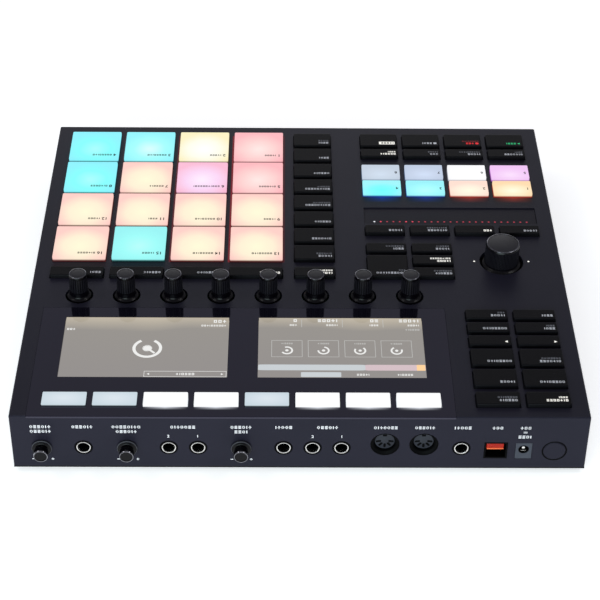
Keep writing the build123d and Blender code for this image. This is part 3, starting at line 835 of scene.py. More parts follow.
def flute(
    piece: Piece,
    sides: int,
    span: Pair,
    every: int,
    groove: Pair,
) -> None:
    """Sinks upright grooves into a turned piece's wall.

    Args:
        piece: The piece, still on the Z axis.
        sides: How many sides its rings have.
        span: Lowest and highest middle of the wall faces to groove, in millimetres.
        every: One face in this many is grooved.
        groove: The groove's inset from its face's edges, and its depth, in millimetres.
    """

    def grooved(_mesh: bpy.types.Mesh, face: bpy.types.MeshPolygon) -> bool:
        """Tells whether a wall face is one of those to sink.

        Args:
            _mesh: The piece's mesh; not used.
            face: One of its faces.

        Returns:
            Whether the face is sunk.
        """
        turn = math.atan2(face.center.y, face.center.x) / math.tau * sides
        in_span = span[0] * MM < face.center.z < span[1] * MM
        return in_span and abs(face.normal.z) < STEEP and round(turn - 0.5) % every == 0

    inset, depth = groove
    rework(
        piece,
        Element.FACES,
        grooved,
        lambda: bpy.ops.mesh.inset(thickness=inset * MM, depth=-depth * MM, use_individual=True),
    )
    settle(piece)


def copied(piece: Piece, name: str, place: Matrix | Vector) -> Piece:
    """Copies a piece and its mesh to a place.

    Args:
        piece: What is copied.
        name: The copy's name.
        place: Where the copy goes, as a shift or as a whole placement.

    Returns:
        The copy, with its place in its mesh.
    """
    mesh = piece.data.copy()
    mesh.name = name
    mesh.transform(place if isinstance(place, Matrix) else Matrix.Translation(place))
    twin = bpy.data.objects.new(name, mesh)
    bpy.context.scene.collection.objects.link(twin)
    return twin


def joined(name: str, pieces: Sequence[Piece]) -> Piece:
    """Joins pieces into one.

    Args:
        name: The name of the whole.
        pieces: The pieces, which go into the first.

    Returns:
        The whole.
    """
    clear_selection()
    for piece in pieces:
        piece.select_set(True)
    bpy.context.view_layer.objects.active = pieces[0]
    if len(pieces) > 1:
        bpy.ops.object.join()
    return named(name)


def discard(*pieces: Piece) -> None:
    """Deletes patterns that have been copied."""
    for piece in pieces:
        bpy.data.meshes.remove(piece.data)


def dress(
    piece: Piece,
    body: str,
    material: bpy.types.Material,
    stands_for: Sequence[str] = (),
) -> Piece:
    """Gives a piece its finish, the body that carries it and the nodes it stands for.

    Args:
        piece: The piece.
        body: The body it rides on.
        material: Its finish.
        stands_for: The nodes it replaces.

    Returns:
        The piece.
    """
    piece.data.materials.clear()
    piece.data.materials.append(material)
    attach(piece, body)
    if stands_for:
        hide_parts(*stands_for)
    LOG.info("%s on %s", piece.name, body)
    return piece


def finish_node(frame: dict, node: str, material: bpy.types.Material) -> None:
    """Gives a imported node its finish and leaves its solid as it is.

    Args:
        frame: The loaded frame.
        node: The node's name.
        material: Its finish.
    """
    slots = frame["nodes"][node].data.materials
    slots.clear()
    slots.append(material)
    LOG.info("%s keeps its solid", node)


def shift(across: float, along: float, up: float = 0.0) -> Matrix:
    """Makes a placement that moves by millimetres."""
    return Matrix.Translation(Vector((across, along, up)) * MM)


def spin(turn: float) -> Matrix:
    """Makes a placement that turns about Z by degrees."""
    return Matrix.Rotation(math.radians(turn), 4, "Z")


def reading(place: Vector, along: Vector, over: Vector) -> Matrix:
    """Places a flat mark.

    Args:
        place: The mark's middle.
        along: The direction it is read in.
        over: The direction of its top.

    Returns:
        The placement, with the mark's face outwards.
    """
    axes = Matrix((along, over, along.cross(over))).transposed()
    return Matrix.Translation(place) @ axes.to_4x4()


def on_top(place: Vector) -> Matrix:
    """Places a flat mark that lies face up and is read from the front."""
    return reading(place, RIGHT, REARWARD)


class Glyph(Enum):
    """Plain forms that rows of print are made of."""

    BOX = "box"
    LINES = "lines"
    STEM = "stem"
    CROSS = "cross"


GLYPH_ROW = (
    Glyph.BOX,
    Glyph.LINES,
    Glyph.BOX,
    Glyph.STEM,
    Glyph.LINES,
    Glyph.BOX,
    Glyph.CROSS,
)


class Sign(Enum):
    """Plain signs that stand beside a legend."""

    PLAY = "play"
    DOT = "dot"
    SQUARE = "square"
    BACK = "back"


@dataclass
class PrintPress:
    """The patterns that every printed mark is copied from: a block, a triangle and a dot."""

    eased_corner: float = 0.06
    dot_sides: int = 20
    block: Piece = field(init=False)
    triangle: Piece = field(init=False)
    dot: Piece = field(init=False)

    def __post_init__(self) -> None:
        """Models the three patterns, one millimetre across."""
        self.block = self._plate("block_pattern", 4, 45)
        self.triangle = self._plate("triangle_pattern", 3, 0)
        self.dot = self._plate("dot_pattern", self.dot_sides, 0)

    def _plate(self, name: str, sides: int, turn: float) -> Piece:
        """Models a thin plate with eased corners.

        Args:
            name: The pattern's name.
            sides: How many sides it has.
            turn: How far it is turned, in degrees.

        Returns:
            The pattern, one millimetre across, standing on the origin.
        """
        clear_selection()
        across = math.sqrt(0.5) if sides == 4 else 0.5
        bpy.ops.mesh.primitive_circle_add(
            vertices=sides,
            radius=across * MM,
            fill_type="NGON",
            rotation=(0, 0, math.radians(turn)),
        )
        plate = named(name)
        bpy.ops.object.transform_apply(location=True, rotation=True, scale=True)
        bpy.context.tool_settings.mesh_select_mode = (True, False, False)
        bpy.ops.object.mode_set(mode="EDIT")
        bpy.ops.mesh.select_all(action="SELECT")
        if sides < self.dot_sides:
            bpy.ops.mesh.bevel(offset=self.eased_corner * MM, segments=2, affect="VERTICES")
        bpy.ops.mesh.select_all(action="SELECT")
        bpy.ops.mesh.extrude_region_move(
            TRANSFORM_OT_translate={"value": (0, 0, PRINT_THICK * MM), "orient_type": "GLOBAL"}
        )
        bpy.ops.mesh.select_all(action="SELECT")
        bpy.ops.mesh.normals_make_consistent(inside=False)
        bpy.ops.object.mode_set(mode="OBJECT")
        return plate

    def clear(self) -> None:
        """Deletes the patterns."""
        discard(self.block, self.triangle, self.dot)


@dataclass
class PrintSheet:
    """The marks of one ink on one body, joined into one piece.

    Attributes:
        press: The patterns.
        name: The piece's name.
        body: The body that is printed on.
        ink: The ink.
        slot: The record's material slot; not used.
        line_share: Width of a form's lines, as a share of its height.
        wide_share: Width of most forms, as a share of their height.
        stem_share: Width of a form with a single stem, as a share of its height.
        gap_share: Gap between two forms, as a share of their height.
        arc_density: Bars in each radian of an arc.
        arc_overlap: How much longer each of those bars is than its step.
        figure_scale: Size of type for each millimetre of a figure's height.
        boldness: How far a figure's outline grows, as a share of its height.
        marks: What is printed so far.
    """

    press: PrintPress
    name: str
    body: str
    ink: Ink
    slot: str
    line_share: float = 0.24
    wide_share: float = 0.74
    stem_share: float = 0.34
    gap_share: float = 0.28
    arc_density: float = 7.0
    arc_overlap: float = 1.15
    figure_scale: float = 1.4
    boldness: float = 0.03
    marks: list[Piece] = field(default_factory=list)

    def stamp(self, pattern: Piece, place: Matrix, width: float, height: float) -> None:
        """Copies a pattern to a place.

        Args:
            pattern: One of the press's patterns.
            place: Where it goes.
            width: Its width, in millimetres.
            height: Its height, in millimetres.
        """
        size = Matrix.Diagonal((width, height, 1, 1))
        self.marks.append(copied(pattern, f"{self.name}_{len(self.marks)}", place @ size))

    def bar(self, place: Matrix, width: float, height: float) -> None:
        """Prints a plain bar."""
        self.stamp(self.press.block, place, width, height)

    def frame(self, place: Matrix, width: float, height: float, line: float) -> None:
        """Prints the outline of a rectangle.

        Args:
            place: Its middle.
            width: Its width, in millimetres.
            height: Its height, in millimetres.
            line: The width of its line, in millimetres.
        """
        for side in (-1, 1):
            self.bar(place @ shift(0, side * (height - line) / 2), width, line)
            self.bar(place @ shift(side * (width - line) / 2, 0), line, height)

    def arc(self, place: Matrix, radius: float, line: float, turns: Pair) -> None:
        """Prints a stretch of a ring.

        Args:
            place: The ring's middle.
            radius: Its radius, in millimetres.
            line: The width of its line, in millimetres.
            turns: Where it starts and ends, in degrees from the reading direction.
        """
        start, end = (math.radians(turn) for turn in turns)
        steps = round((end - start) * self.arc_density)
        step = (end - start) / steps
        for n in range(steps):
            turn = Matrix.Rotation(start + (n + 0.5) * step, 4, "Z")
            self.bar(place @ turn @ shift(radius, 0), line, radius * step * self.arc_overlap)

    def glyph(self, place: Matrix, width: float, height: float, form: Glyph) -> None:
        """Prints one plain form.

        Args:
            place: Its middle.
            width: Its width, in millimetres.
            height: Its height, in millimetres.
            form: Which form it is.
        """
        line = height * self.line_share
        if form is Glyph.BOX:
            self.frame(place, width, height, line)
            return
        if form in (Glyph.STEM, Glyph.CROSS):
            self.bar(place, line, height)
        levels = (-0.5, 0.0, 0.5) if form is Glyph.LINES else (0.0,)
        if form is not Glyph.STEM:
            for level in levels:
                self.bar(place @ shift(0, level * (height - line)), width, line)

    def row(self, place: Matrix, count: int, height: float, centred: bool = False) -> None:
        """Prints a row of plain forms.

        Args:
            place: The row's start, or its middle if it is centred.
            count: How many forms it has.
            height: The forms' height, in millimetres.
            centred: Whether the row lies about its place.
        """
        # Every third form in turn, from a start that changes with the length
        forms = [GLYPH_ROW[(3 * n + 2 * count) % len(GLYPH_ROW)] for n in range(count)]
        shares = [self.stem_share if form is Glyph.STEM else self.wide_share for form in forms]
        widths = [height * share for share in shares]
        gap = height * self.gap_share
        left = -(sum(widths) + gap * (count - 1)) / 2 if centred else 0.0
        for form, width in zip(forms, widths):
            self.glyph(place @ shift(left + width / 2, 0), width, height, form)
            left += width + gap

    def number(self, place: Matrix, value: int, height: float) -> None:
        """Prints a plain number.

        Args:
            place: The number's left end, on its base line.
            value: The number.
            height: The figures' height, in millimetres.
        """
        clear_selection()
        bpy.ops.object.text_add()
        figures = bpy.context.object
        figures.data.body = str(value)
        figures.data.size = height * MM * self.figure_scale
        figures.data.offset = height * MM * self.boldness
        figures.data.extrude = INK_SINK
        bpy.ops.object.convert(target="MESH")
        figures = named(f"{self.name}_{len(self.marks)}")
        figures.data.transform(place @ Matrix.Translation(UP * INK_SINK))
        self.marks.append(figures)

    def done(self) -> Piece | None:
        """Joins the marks and dresses them.

        Returns:
            The printed piece, if anything was printed.
        """
        if not self.marks:
            return None
        return dress(joined(self.name, self.marks), self.body, self.ink.make())


# Ink, screen-printed: matt white, a grey for the smaller rows and a clear white at the rear
PLAIN_INK = Ink("legend_white_ink", "#dedee4")
FAINT_INK = Ink("legend_grey_ink", "#7c7d84")
REAR_INK = Ink("rear_white_ink", "#faf4f6")
# Legends cut through the film to the lamp below: they shine in the lamp's colour
LIT_INK = Ink("legend_lit_white", "#fffdf6", glow=1.0)
RED_INK = Ink("legend_lit_red", "#f0262e", glow=0.9)
LOW_RED_INK = Ink("legend_low_red", "#7c1c22", glow=0.8)
GREEN_INK = Ink("legend_lit_green", "#22c07a", glow=0.9)
# Ink on lit silicone: nearly black against the light
DARK_INK = Ink("legend_dark_ink", "#120c0e")
SMALL_INKS = {LIT_INK: LIT_INK, RED_INK: LOW_RED_INK}  # smaller rows that are lit as well
TRIANGLE_TURNS = {Sign.PLAY: -90.0, Sign.BACK: 90.0}


@dataclass(frozen=True)
class Legend:
    """What one key has printed on it.

    Attributes:
        main: Forms in the main row.
        small: Forms in the smaller row in front of it.
        ink: The ink of the main row.
        sign: A plain sign before the main row.
        boxed: Whether the main row stands dark in a lit box.
    """

    main: int
    small: int = 0
    ink: Ink = PLAIN_INK
    sign: Sign | None = None
    boxed: bool = False


@dataclass
class KeyBank:
    """A bank of dark keys: satin caps with legends at their rear left."""

    node: str
    legends: Sequence[Legend]
    corner: float = 1.0
    rim: float = 0.5
    margin: float = 1.6
    main_height: float = 1.85
    small_height: float = 1.45
    row_setback: float = 3.4  # from a key's rear edge to its main row
    row_share: float = 0.33  # the same on a short key, as a share of its length
    row_pitch: float = 2.5  # from the main row to the smaller one
    box_margin: float = 0.7  # from the end of a lit box to the row in it
    box_room: Pair = (1.0, 1.3)  # width and height of a box beyond its row
    sign_share: float = 1.25  # size of a sign, as a share of the main row's height
    square_share: float = 0.85  # side of a square, as a share of a sign's size
    sign_pitch: float = 1.4  # from a sign's start to its row, as a share of its size
    finish: Moulded = KEY_FINISH

    def build(self, frame: dict, press: PrintPress) -> None:
        """Models the caps and prints the legends.

        Args:
            frame: The loaded frame.
            press: The patterns for print.
        """
        boxes = loose_boxes(frame, self.node)
        patterns: dict[tuple, Piece] = {}
        caps = []
        for number, box in enumerate(boxes, start=1):
            size = box.size - SKIRT
            key = tuple(round(part, 5) for part in size)
            if key not in patterns:
                pattern = f"{self.node}_pattern_{len(patterns)}"
                patterns[key] = rounded_block(pattern, size, self.corner, self.rim)
            caps.append(copied(patterns[key], f"{self.node}_{number}", box.foot))
        whole = joined(f"{self.node}_caps", caps)
        dress(whole, self.node, self.finish.make(), [self.node])
        discard(*patterns.values())
        self._print(boxes, press)

    def _print(self, boxes: Sequence[Box], press: PrintPress) -> None:
        """Prints each key's legend.

        Args:
            boxes: The keys' boxes, in the order of the legends.
            press: The patterns for print.
        """
        sheets: dict[Ink, PrintSheet] = {}

        def sheet(ink: Ink) -> PrintSheet:
            """Gives the bank's sheet of an ink."""
            name = f"{self.node}_{ink.name}"
            return sheets.setdefault(ink, PrintSheet(press, name, self.node, ink, "key"))

        for box, legend in zip(boxes, self.legends):
            length = box.size.y / MM - 2 * LIP
            left = -box.size.x / 2 + (LIP + self.margin) * MM
            back = (length / 2 - min(self.row_setback, length * self.row_share)) * MM
            row = box.top + Vector((left, back, -INK_SINK))
            place = on_top(row)
            if legend.boxed:
                self._box(sheet(legend.ink), place, legend.main)
                place = place @ shift(self.box_margin, 0, PRINT_THICK)
            place = self._sign(sheet(legend.ink), place, legend.sign)
            ink = DARK_INK if legend.boxed else legend.ink
            sheet(ink).row(place, legend.main, self.main_height)
            if legend.small:
                front = row - REARWARD * self.row_pitch * MM
                ink = SMALL_INKS.get(legend.ink, FAINT_INK)
                sheet(ink).row(on_top(front), legend.small, self.small_height)
        for printed in sheets.values():
            printed.done()

    def _box(self, sheet: PrintSheet, place: Matrix, count: int) -> None:
        """Prints the lit box that a dark row stands in.

        Args:
            sheet: The sheet it goes on.
            place: The row's start.
            count: Forms in the row.
        """
        wider, taller = self.box_room
        pitch = self.main_height * (sheet.wide_share + sheet.gap_share)
        width = count * pitch + wider
        sheet.bar(place @ shift(width / 2, 0), width, self.main_height + taller)

    def _sign(self, sheet: PrintSheet, place: Matrix, sign: Sign | None) -> Matrix:
        """Prints a sign before a row.

        Args:
            sheet: The sheet it goes on.
            place: The row's start.
            sign: The sign, if there is one.

        Returns:
            Where the row starts after the sign.
        """
        if sign is None:
            return place
        size = self.main_height * self.sign_share
        middle = place @ shift(size / 2, 0)
        if sign in TRIANGLE_TURNS:
            sheet.stamp(sheet.press.triangle, middle @ spin(TRIANGLE_TURNS[sign]), size, size)
        elif sign is Sign.DOT:
            sheet.stamp(sheet.press.dot, middle, size, size)
        else:
            sheet.bar(middle, size * self.square_share, size * self.square_share)
        return place @ shift(size * self.sign_pitch, 0)


# Translucent silicone, moulded and lit from below: cream over the lamp, pale pink outwards
PEACH = LitSilicone("silicone_moulded_peach", "#fffad8", "#fff0d4", "#ffcfc6", "#4a1512")
# The same silicone over a redder lamp
ROSE = LitSilicone("silicone_moulded_rose", "#ffe6e2", "#ffd2d0", "#fdb8be", "#5c1216")
# The same over a violet lamp, lilac in the middle
ORCHID = LitSilicone("silicone_moulded_orchid", "#feecff", "#fbd6f6", "#fbbcd6", "#4a1030")
# The same over a yellow lamp, white in the middle
CREAM = LitSilicone("silicone_moulded_cream", "#ffffff", "#fffdec", "#fdf2c4", "#4a3a1c")
# The same over green and blue lamps, nearly even all over
AQUA = LitSilicone("silicone_moulded_aqua", "#b2fffa", "#9cfdf9", "#96f4f4", "#0c3434")
# The same over a bluer lamp: clear cyan, hardly paler over the lamp
CYAN = LitSilicone("silicone_moulded_cyan", "#a4ffff", "#82fffd", "#8af3ff", "#0c2c38")
# The same lamp turned up, nearly white in the middle
PALE_CYAN = LitSilicone("silicone_moulded_pale_cyan", "#d4ffff", "#a2ffff", "#92f5ff", "#0c2c38")
# Milky polycarbonate over white lamps, at full and at half light
WHITE_KEY = LitSilicone("key_lit_white", "#ffffff", "#ffffff", "#fdfeff", "#d5dde6", 0.98)
DIM_KEY = LitSilicone("key_dim_white", "#e2edf5", "#dae7f0", "#d0e0e9", "#20262b", 0.9, (1.1, 0.3))
# The same over coloured lamps, with painted shade in a deep tone of the lamp's own colour at the
# foot
GROUP_LIGHTS = (
    LitSilicone("group_lit_honey", "#fdfee0", "#ffefc8", "#ffdcae", "#a02a10"),
    LitSilicone("group_lit_apricot", "#fffde4", "#fff0dc", "#ffdfd0", "#a02a16"),
    LitSilicone("group_lit_aqua", "#b2ffff", "#a2fcff", "#98f3fb", "#0c308c"),
    LitSilicone("group_lit_cyan", "#6cfeff", "#7efbff", "#9ef6fb", "#0a308c"),
    LitSilicone("group_lit_lilac", "#fcdffe", "#f6d0f9", "#f2c4f6", "#a060b0"),
    LitSilicone("group_lit_white", "#ffffff", "#ffffff", "#fbfbff", "#9a9aa4"),
    LitSilicone("group_dim_blue", "#d0dff7", "#c7d4eb", "#bfcce3", "#6a7890"),
    LitSilicone("group_dim_grey", "#d0dff0", "#cad7e7", "#c3cfdf", "#6a7890"),
)
DISPLAY_LIGHTS = 3 * (WHITE_KEY,) + (DIM_KEY,) + 2 * (WHITE_KEY,) + 2 * (DIM_KEY,)


@dataclass
class PadGrid:
    """Sixteen lit pads with their numbers, from the front left to the rear right."""

    lights: Sequence[Sequence[LitSilicone]] = (
        (ROSE, CREAM, PALE_CYAN, CYAN),
        (ROSE, ORCHID, PEACH, CYAN),
        (PEACH, PEACH, PEACH, PEACH),
        (PEACH, PEACH, AQUA, PEACH),
    )
    # Forms in the row after each pad's number
    notes: Sequence[int] = (5, 5, 8, 8, 7, 11, 6, 7, 5, 8, 4, 5, 8, 8, 5, 7)
    note_start: Pair = (3.0, 4.9)  # after one figure, and after two
    corner: float = 0.8
    rim: float = 0.45
    margin: float = 1.6
    lamp_setback: float = 4.5
    figure_setback: float = 5.6
    figure_height: float = 2.7
    note_height: float = 1.65
    note_rise: float = 1.1

    def build(self, slots: dict[str, str], press: PrintPress) -> None:
        """Models the pads and prints their numbers.

        Args:
            slots: The material slot of each node.
            press: The patterns for print.
        """
        size = node_box("pad_1").size - SKIRT
        pattern = rounded_block("pad_pattern", size, self.corner, self.rim)
        lights = chain.from_iterable(self.lights)
        for number, (light, note) in enumerate(zip(lights, self.notes), start=1):
            node = f"pad_{number}"
            box = node_box(node)
            pad = copied(pattern, f"{node}_silicone", box.foot)
            lamp = box.top + REARWARD * self.lamp_setback * MM
            dress(pad, node, light.make(lamp, size / 2), [node])
            ink = PrintSheet(press, f"{node}_number", node, DARK_INK, slots[node])
            left = -box.size.x / 2 + (LIP + self.margin) * MM
            back = box.size.y / 2 - (LIP + self.figure_setback) * MM
            start = box.top + Vector((left, back, -INK_SINK))
            ink.number(on_top(start), number, self.figure_height)
            row = start + Vector((self.note_start[number > 9], self.note_rise, 0)) * MM
            ink.row(on_top(row), note, self.note_height)
            ink.done()
        discard(pattern)


@dataclass
class LitKeys:
    """A bank of milky keys, each lit in its own colour."""

    node: str
    slot: str
    lights: Sequence[LitSilicone]
    numbered: bool
    corner: float = 0.6
    rim: float = 0.35
    lamp_setback: float = 0.0
    figure_height: float = 2.4
    figure_inset: float = 2.6  # from the left end of a key's box
    figure_rise: float = 0.6  # behind the key's middle

    def build(self, frame: dict, press: PrintPress) -> None:
        """Models the keys.

        Args:
            frame: The loaded frame.
            press: The patterns for print.
        """
        boxes = loose_boxes(frame, self.node)
        size = boxes[0].size - SKIRT
        pattern = rounded_block(f"{self.node}_pattern", size, self.corner, self.rim)
        ink = PrintSheet(press, f"{self.node}_numbers", self.node, DARK_INK, self.slot)
        for number, (box, light) in enumerate(zip(boxes, self.lights), start=1):
            cap = copied(pattern, f"{self.node}_{number}", box.foot)
            lamp = box.top + REARWARD * self.lamp_setback * MM
            glow = light.make(lamp, (box.size - SKIRT) / 2)
            dress(cap, self.node, glow, [self.node])
            if self.numbered:
                left = -box.size.x / 2 + self.figure_inset * MM
                start = box.top + Vector((left, self.figure_rise * MM, -INK_SINK))
                ink.number(on_top(start), number, self.figure_height)
        ink.done()
        discard(pattern)


def knob_top(name: str, radius: float, height: float, sides: int) -> tuple[Piece, Piece]:
    """Models the polished rim and the sunk disc on top of a knob.

    Args:
        name: The knob's name.
        radius: The radius of the knob's top, in millimetres.
        height: The knob's height, in millimetres.
        sides: How many sides it has.

    Returns:
        The rim and the disc.
    """
    rim = turned(
        f"{name}_rim_pattern",
        [
            (radius - 0.1, height - 0.45),
            (radius - 0.15, height - 0.25),
            (radius - 0.5, height),
            (radius - 0.8, height),
            (radius - 0.85, height - 0.45),
        ],
        sides,
        bored=True,
    )
    disc = turned(
        f"{name}_disc_pattern",
        [
            (radius - 0.86, height - 0.42),
            (radius - 0.86, height - 0.2),
            (radius - 1.05, height - 0.14),
            (0.6, height - 0.2),
        ],
        sides,
    )
    return rim, disc


@dataclass
class KnobRow:
    """The eight fluted knobs in front of the screens."""

    count: int = 8
    sides: int = 48
    stand: float = 16.9  # from the flange's underside to the top
    stem_radius: float = 3.0
    flange_radius: float = 7.1
    body_radius: float = 5.55
    top_radius: float = 5.2
    heart: float = 0.6  # radius at which a turned end closes
    groove: Pair = (0.02, 0.5)
    groove_every: int = 2

    def build(self) -> None:
        """Models one knob and copies it onto each knob's node."""
        height = node_box("knob_1").size.z / MM
        flange = height - self.stand
        profile = [
            (self.stem_radius, 0.0),
            (self.stem_radius, flange),
            (self.flange_radius - 0.2, flange),
            (self.flange_radius, flange + 0.25),
            (self.flange_radius, flange + 0.9),
            (self.flange_radius - 0.4, flange + 1.3),
            (self.body_radius + 0.75, flange + 1.5),
            (self.body_radius + 0.1, flange + 2.1),
            (self.body_radius, flange + 2.6),
            (self.body_radius - 0.05, flange + 5.2),
            (self.body_radius - 0.3, flange + 5.3),
            (self.top_radius - 0.12, height - 1.9),
            (self.top_radius + 0.05, height - 1.85),
            (self.top_radius + 0.05, height - 0.75),
            (self.top_radius - 0.1, height - 0.4),
            (self.heart, height - 0.4),
        ]
        pattern = turned("knob_pattern", profile, self.sides)
        drum = [
            (self.heart, flange + 5.6),
            (self.body_radius - 0.06, flange + 5.6),
            (self.top_radius + 0.12, height - 1.9),
            (self.heart, height - 1.9),
        ]
        ribs = turned("knob_rib_pattern", drum, self.sides)
        span = (flange + 6.2, height - 2.2)
        flute(ribs, self.sides, span, self.groove_every, self.groove)
        rim, disc = knob_top("knob", self.top_radius, height, self.sides)
        # The fluted band is greyer than the knob: a painted sheen on its crests
        paint, ridge_sheen = KNOB_FINISH.make(), RIB_FINISH.make()
        cut, satin = DARK_RIM_FINISH.make(), KNOB_TOP_FINISH.make()
        for number in range(1, self.count + 1):
            node = f"knob_{number}"
            foot = node_box(node).foot
            dress(copied(pattern, f"{node}_cap", foot), node, paint, [node])
            dress(copied(ribs, f"{node}_ribs", foot), node, ridge_sheen)
            dress(copied(rim, f"{node}_rim", foot), node, cut)
            dress(copied(disc, f"{node}_disc", foot), node, satin)
        discard(pattern, ribs, rim, disc)


@dataclass
class JogDial:
    """The wide knurled knob at the left, with a bright dot on each side of it."""

    sides: int = 144
    flange_radius: float = 11.9
    body_radius: float = 10.4
    heart: float = 0.8  # radius at which a turned end closes
    groove: Pair = (0.02, 0.45)
    groove_every: int = 2
    dot_distance: float = 16.6
    dot_size: float = 1.25

    def build(self, press: PrintPress) -> None:
        """Models the knob and prints its dots.

        Args:
            press: The patterns for print.
        """
        box = node_box("jog_knob")
        height = box.size.z / MM
        profile = [
            (self.flange_radius - 0.3, 0.0),
            (self.flange_radius, 0.3),
            (self.flange_radius, 0.9),
            (self.flange_radius - 0.4, 1.3),
            (self.body_radius + 0.5, 1.5),
            (self.body_radius, 2.1),
            (self.body_radius, 2.9),
            (self.body_radius - 0.25, 3.0),
            (self.body_radius - 0.35, height - 1.6),
            (self.body_radius - 0.12, height - 1.5),
            (self.body_radius - 0.3, height - 0.8),
            (self.body_radius - 0.6, height - 0.4),
            (self.heart, height - 0.4),
        ]
        knob = turned("jog_knob_cap", profile, self.sides)
        drum = [
            (self.heart, 3.0),
            (self.body_radius, 3.0),
            (self.body_radius - 0.1, height - 1.55),
            (self.heart, height - 1.55),
        ]
        ribs = turned("jog_knob_ribs", drum, self.sides)
        flute(ribs, self.sides, (3.2, height - 1.7), self.groove_every, self.groove)
        rim, disc = knob_top("jog_knob", self.body_radius - 0.4, height, self.sides)
        foot = Matrix.Translation(box.foot)
        for piece in (knob, ribs, rim, disc):
            piece.data.transform(foot)
        # The fluted band's greyer paint is a painted sheen on its crests
        dress(ribs, "jog_knob", RIB_FINISH.make())
        dress(knob, "jog_knob", KNOB_FINISH.make(), ["jog_knob"])
        rim.name, disc.name = "jog_knob_rim", "jog_knob_disc"
        dress(rim, "jog_knob", DARK_RIM_FINISH.make())
        dress(disc, "jog_knob", KNOB_TOP_FINISH.make())
        deck = node_box("top_housing").high.z
        dots = PrintSheet(press, "jog_dots", CASE, LIT_INK, "case")
        for side in (-1, 1):
            place = Vector((box.centre.x + side * self.dot_distance * MM, box.centre.y, deck))
            spot = on_top(place)
            dots.stamp(press.dot, spot, self.dot_size, self.dot_size)
        dots.done()


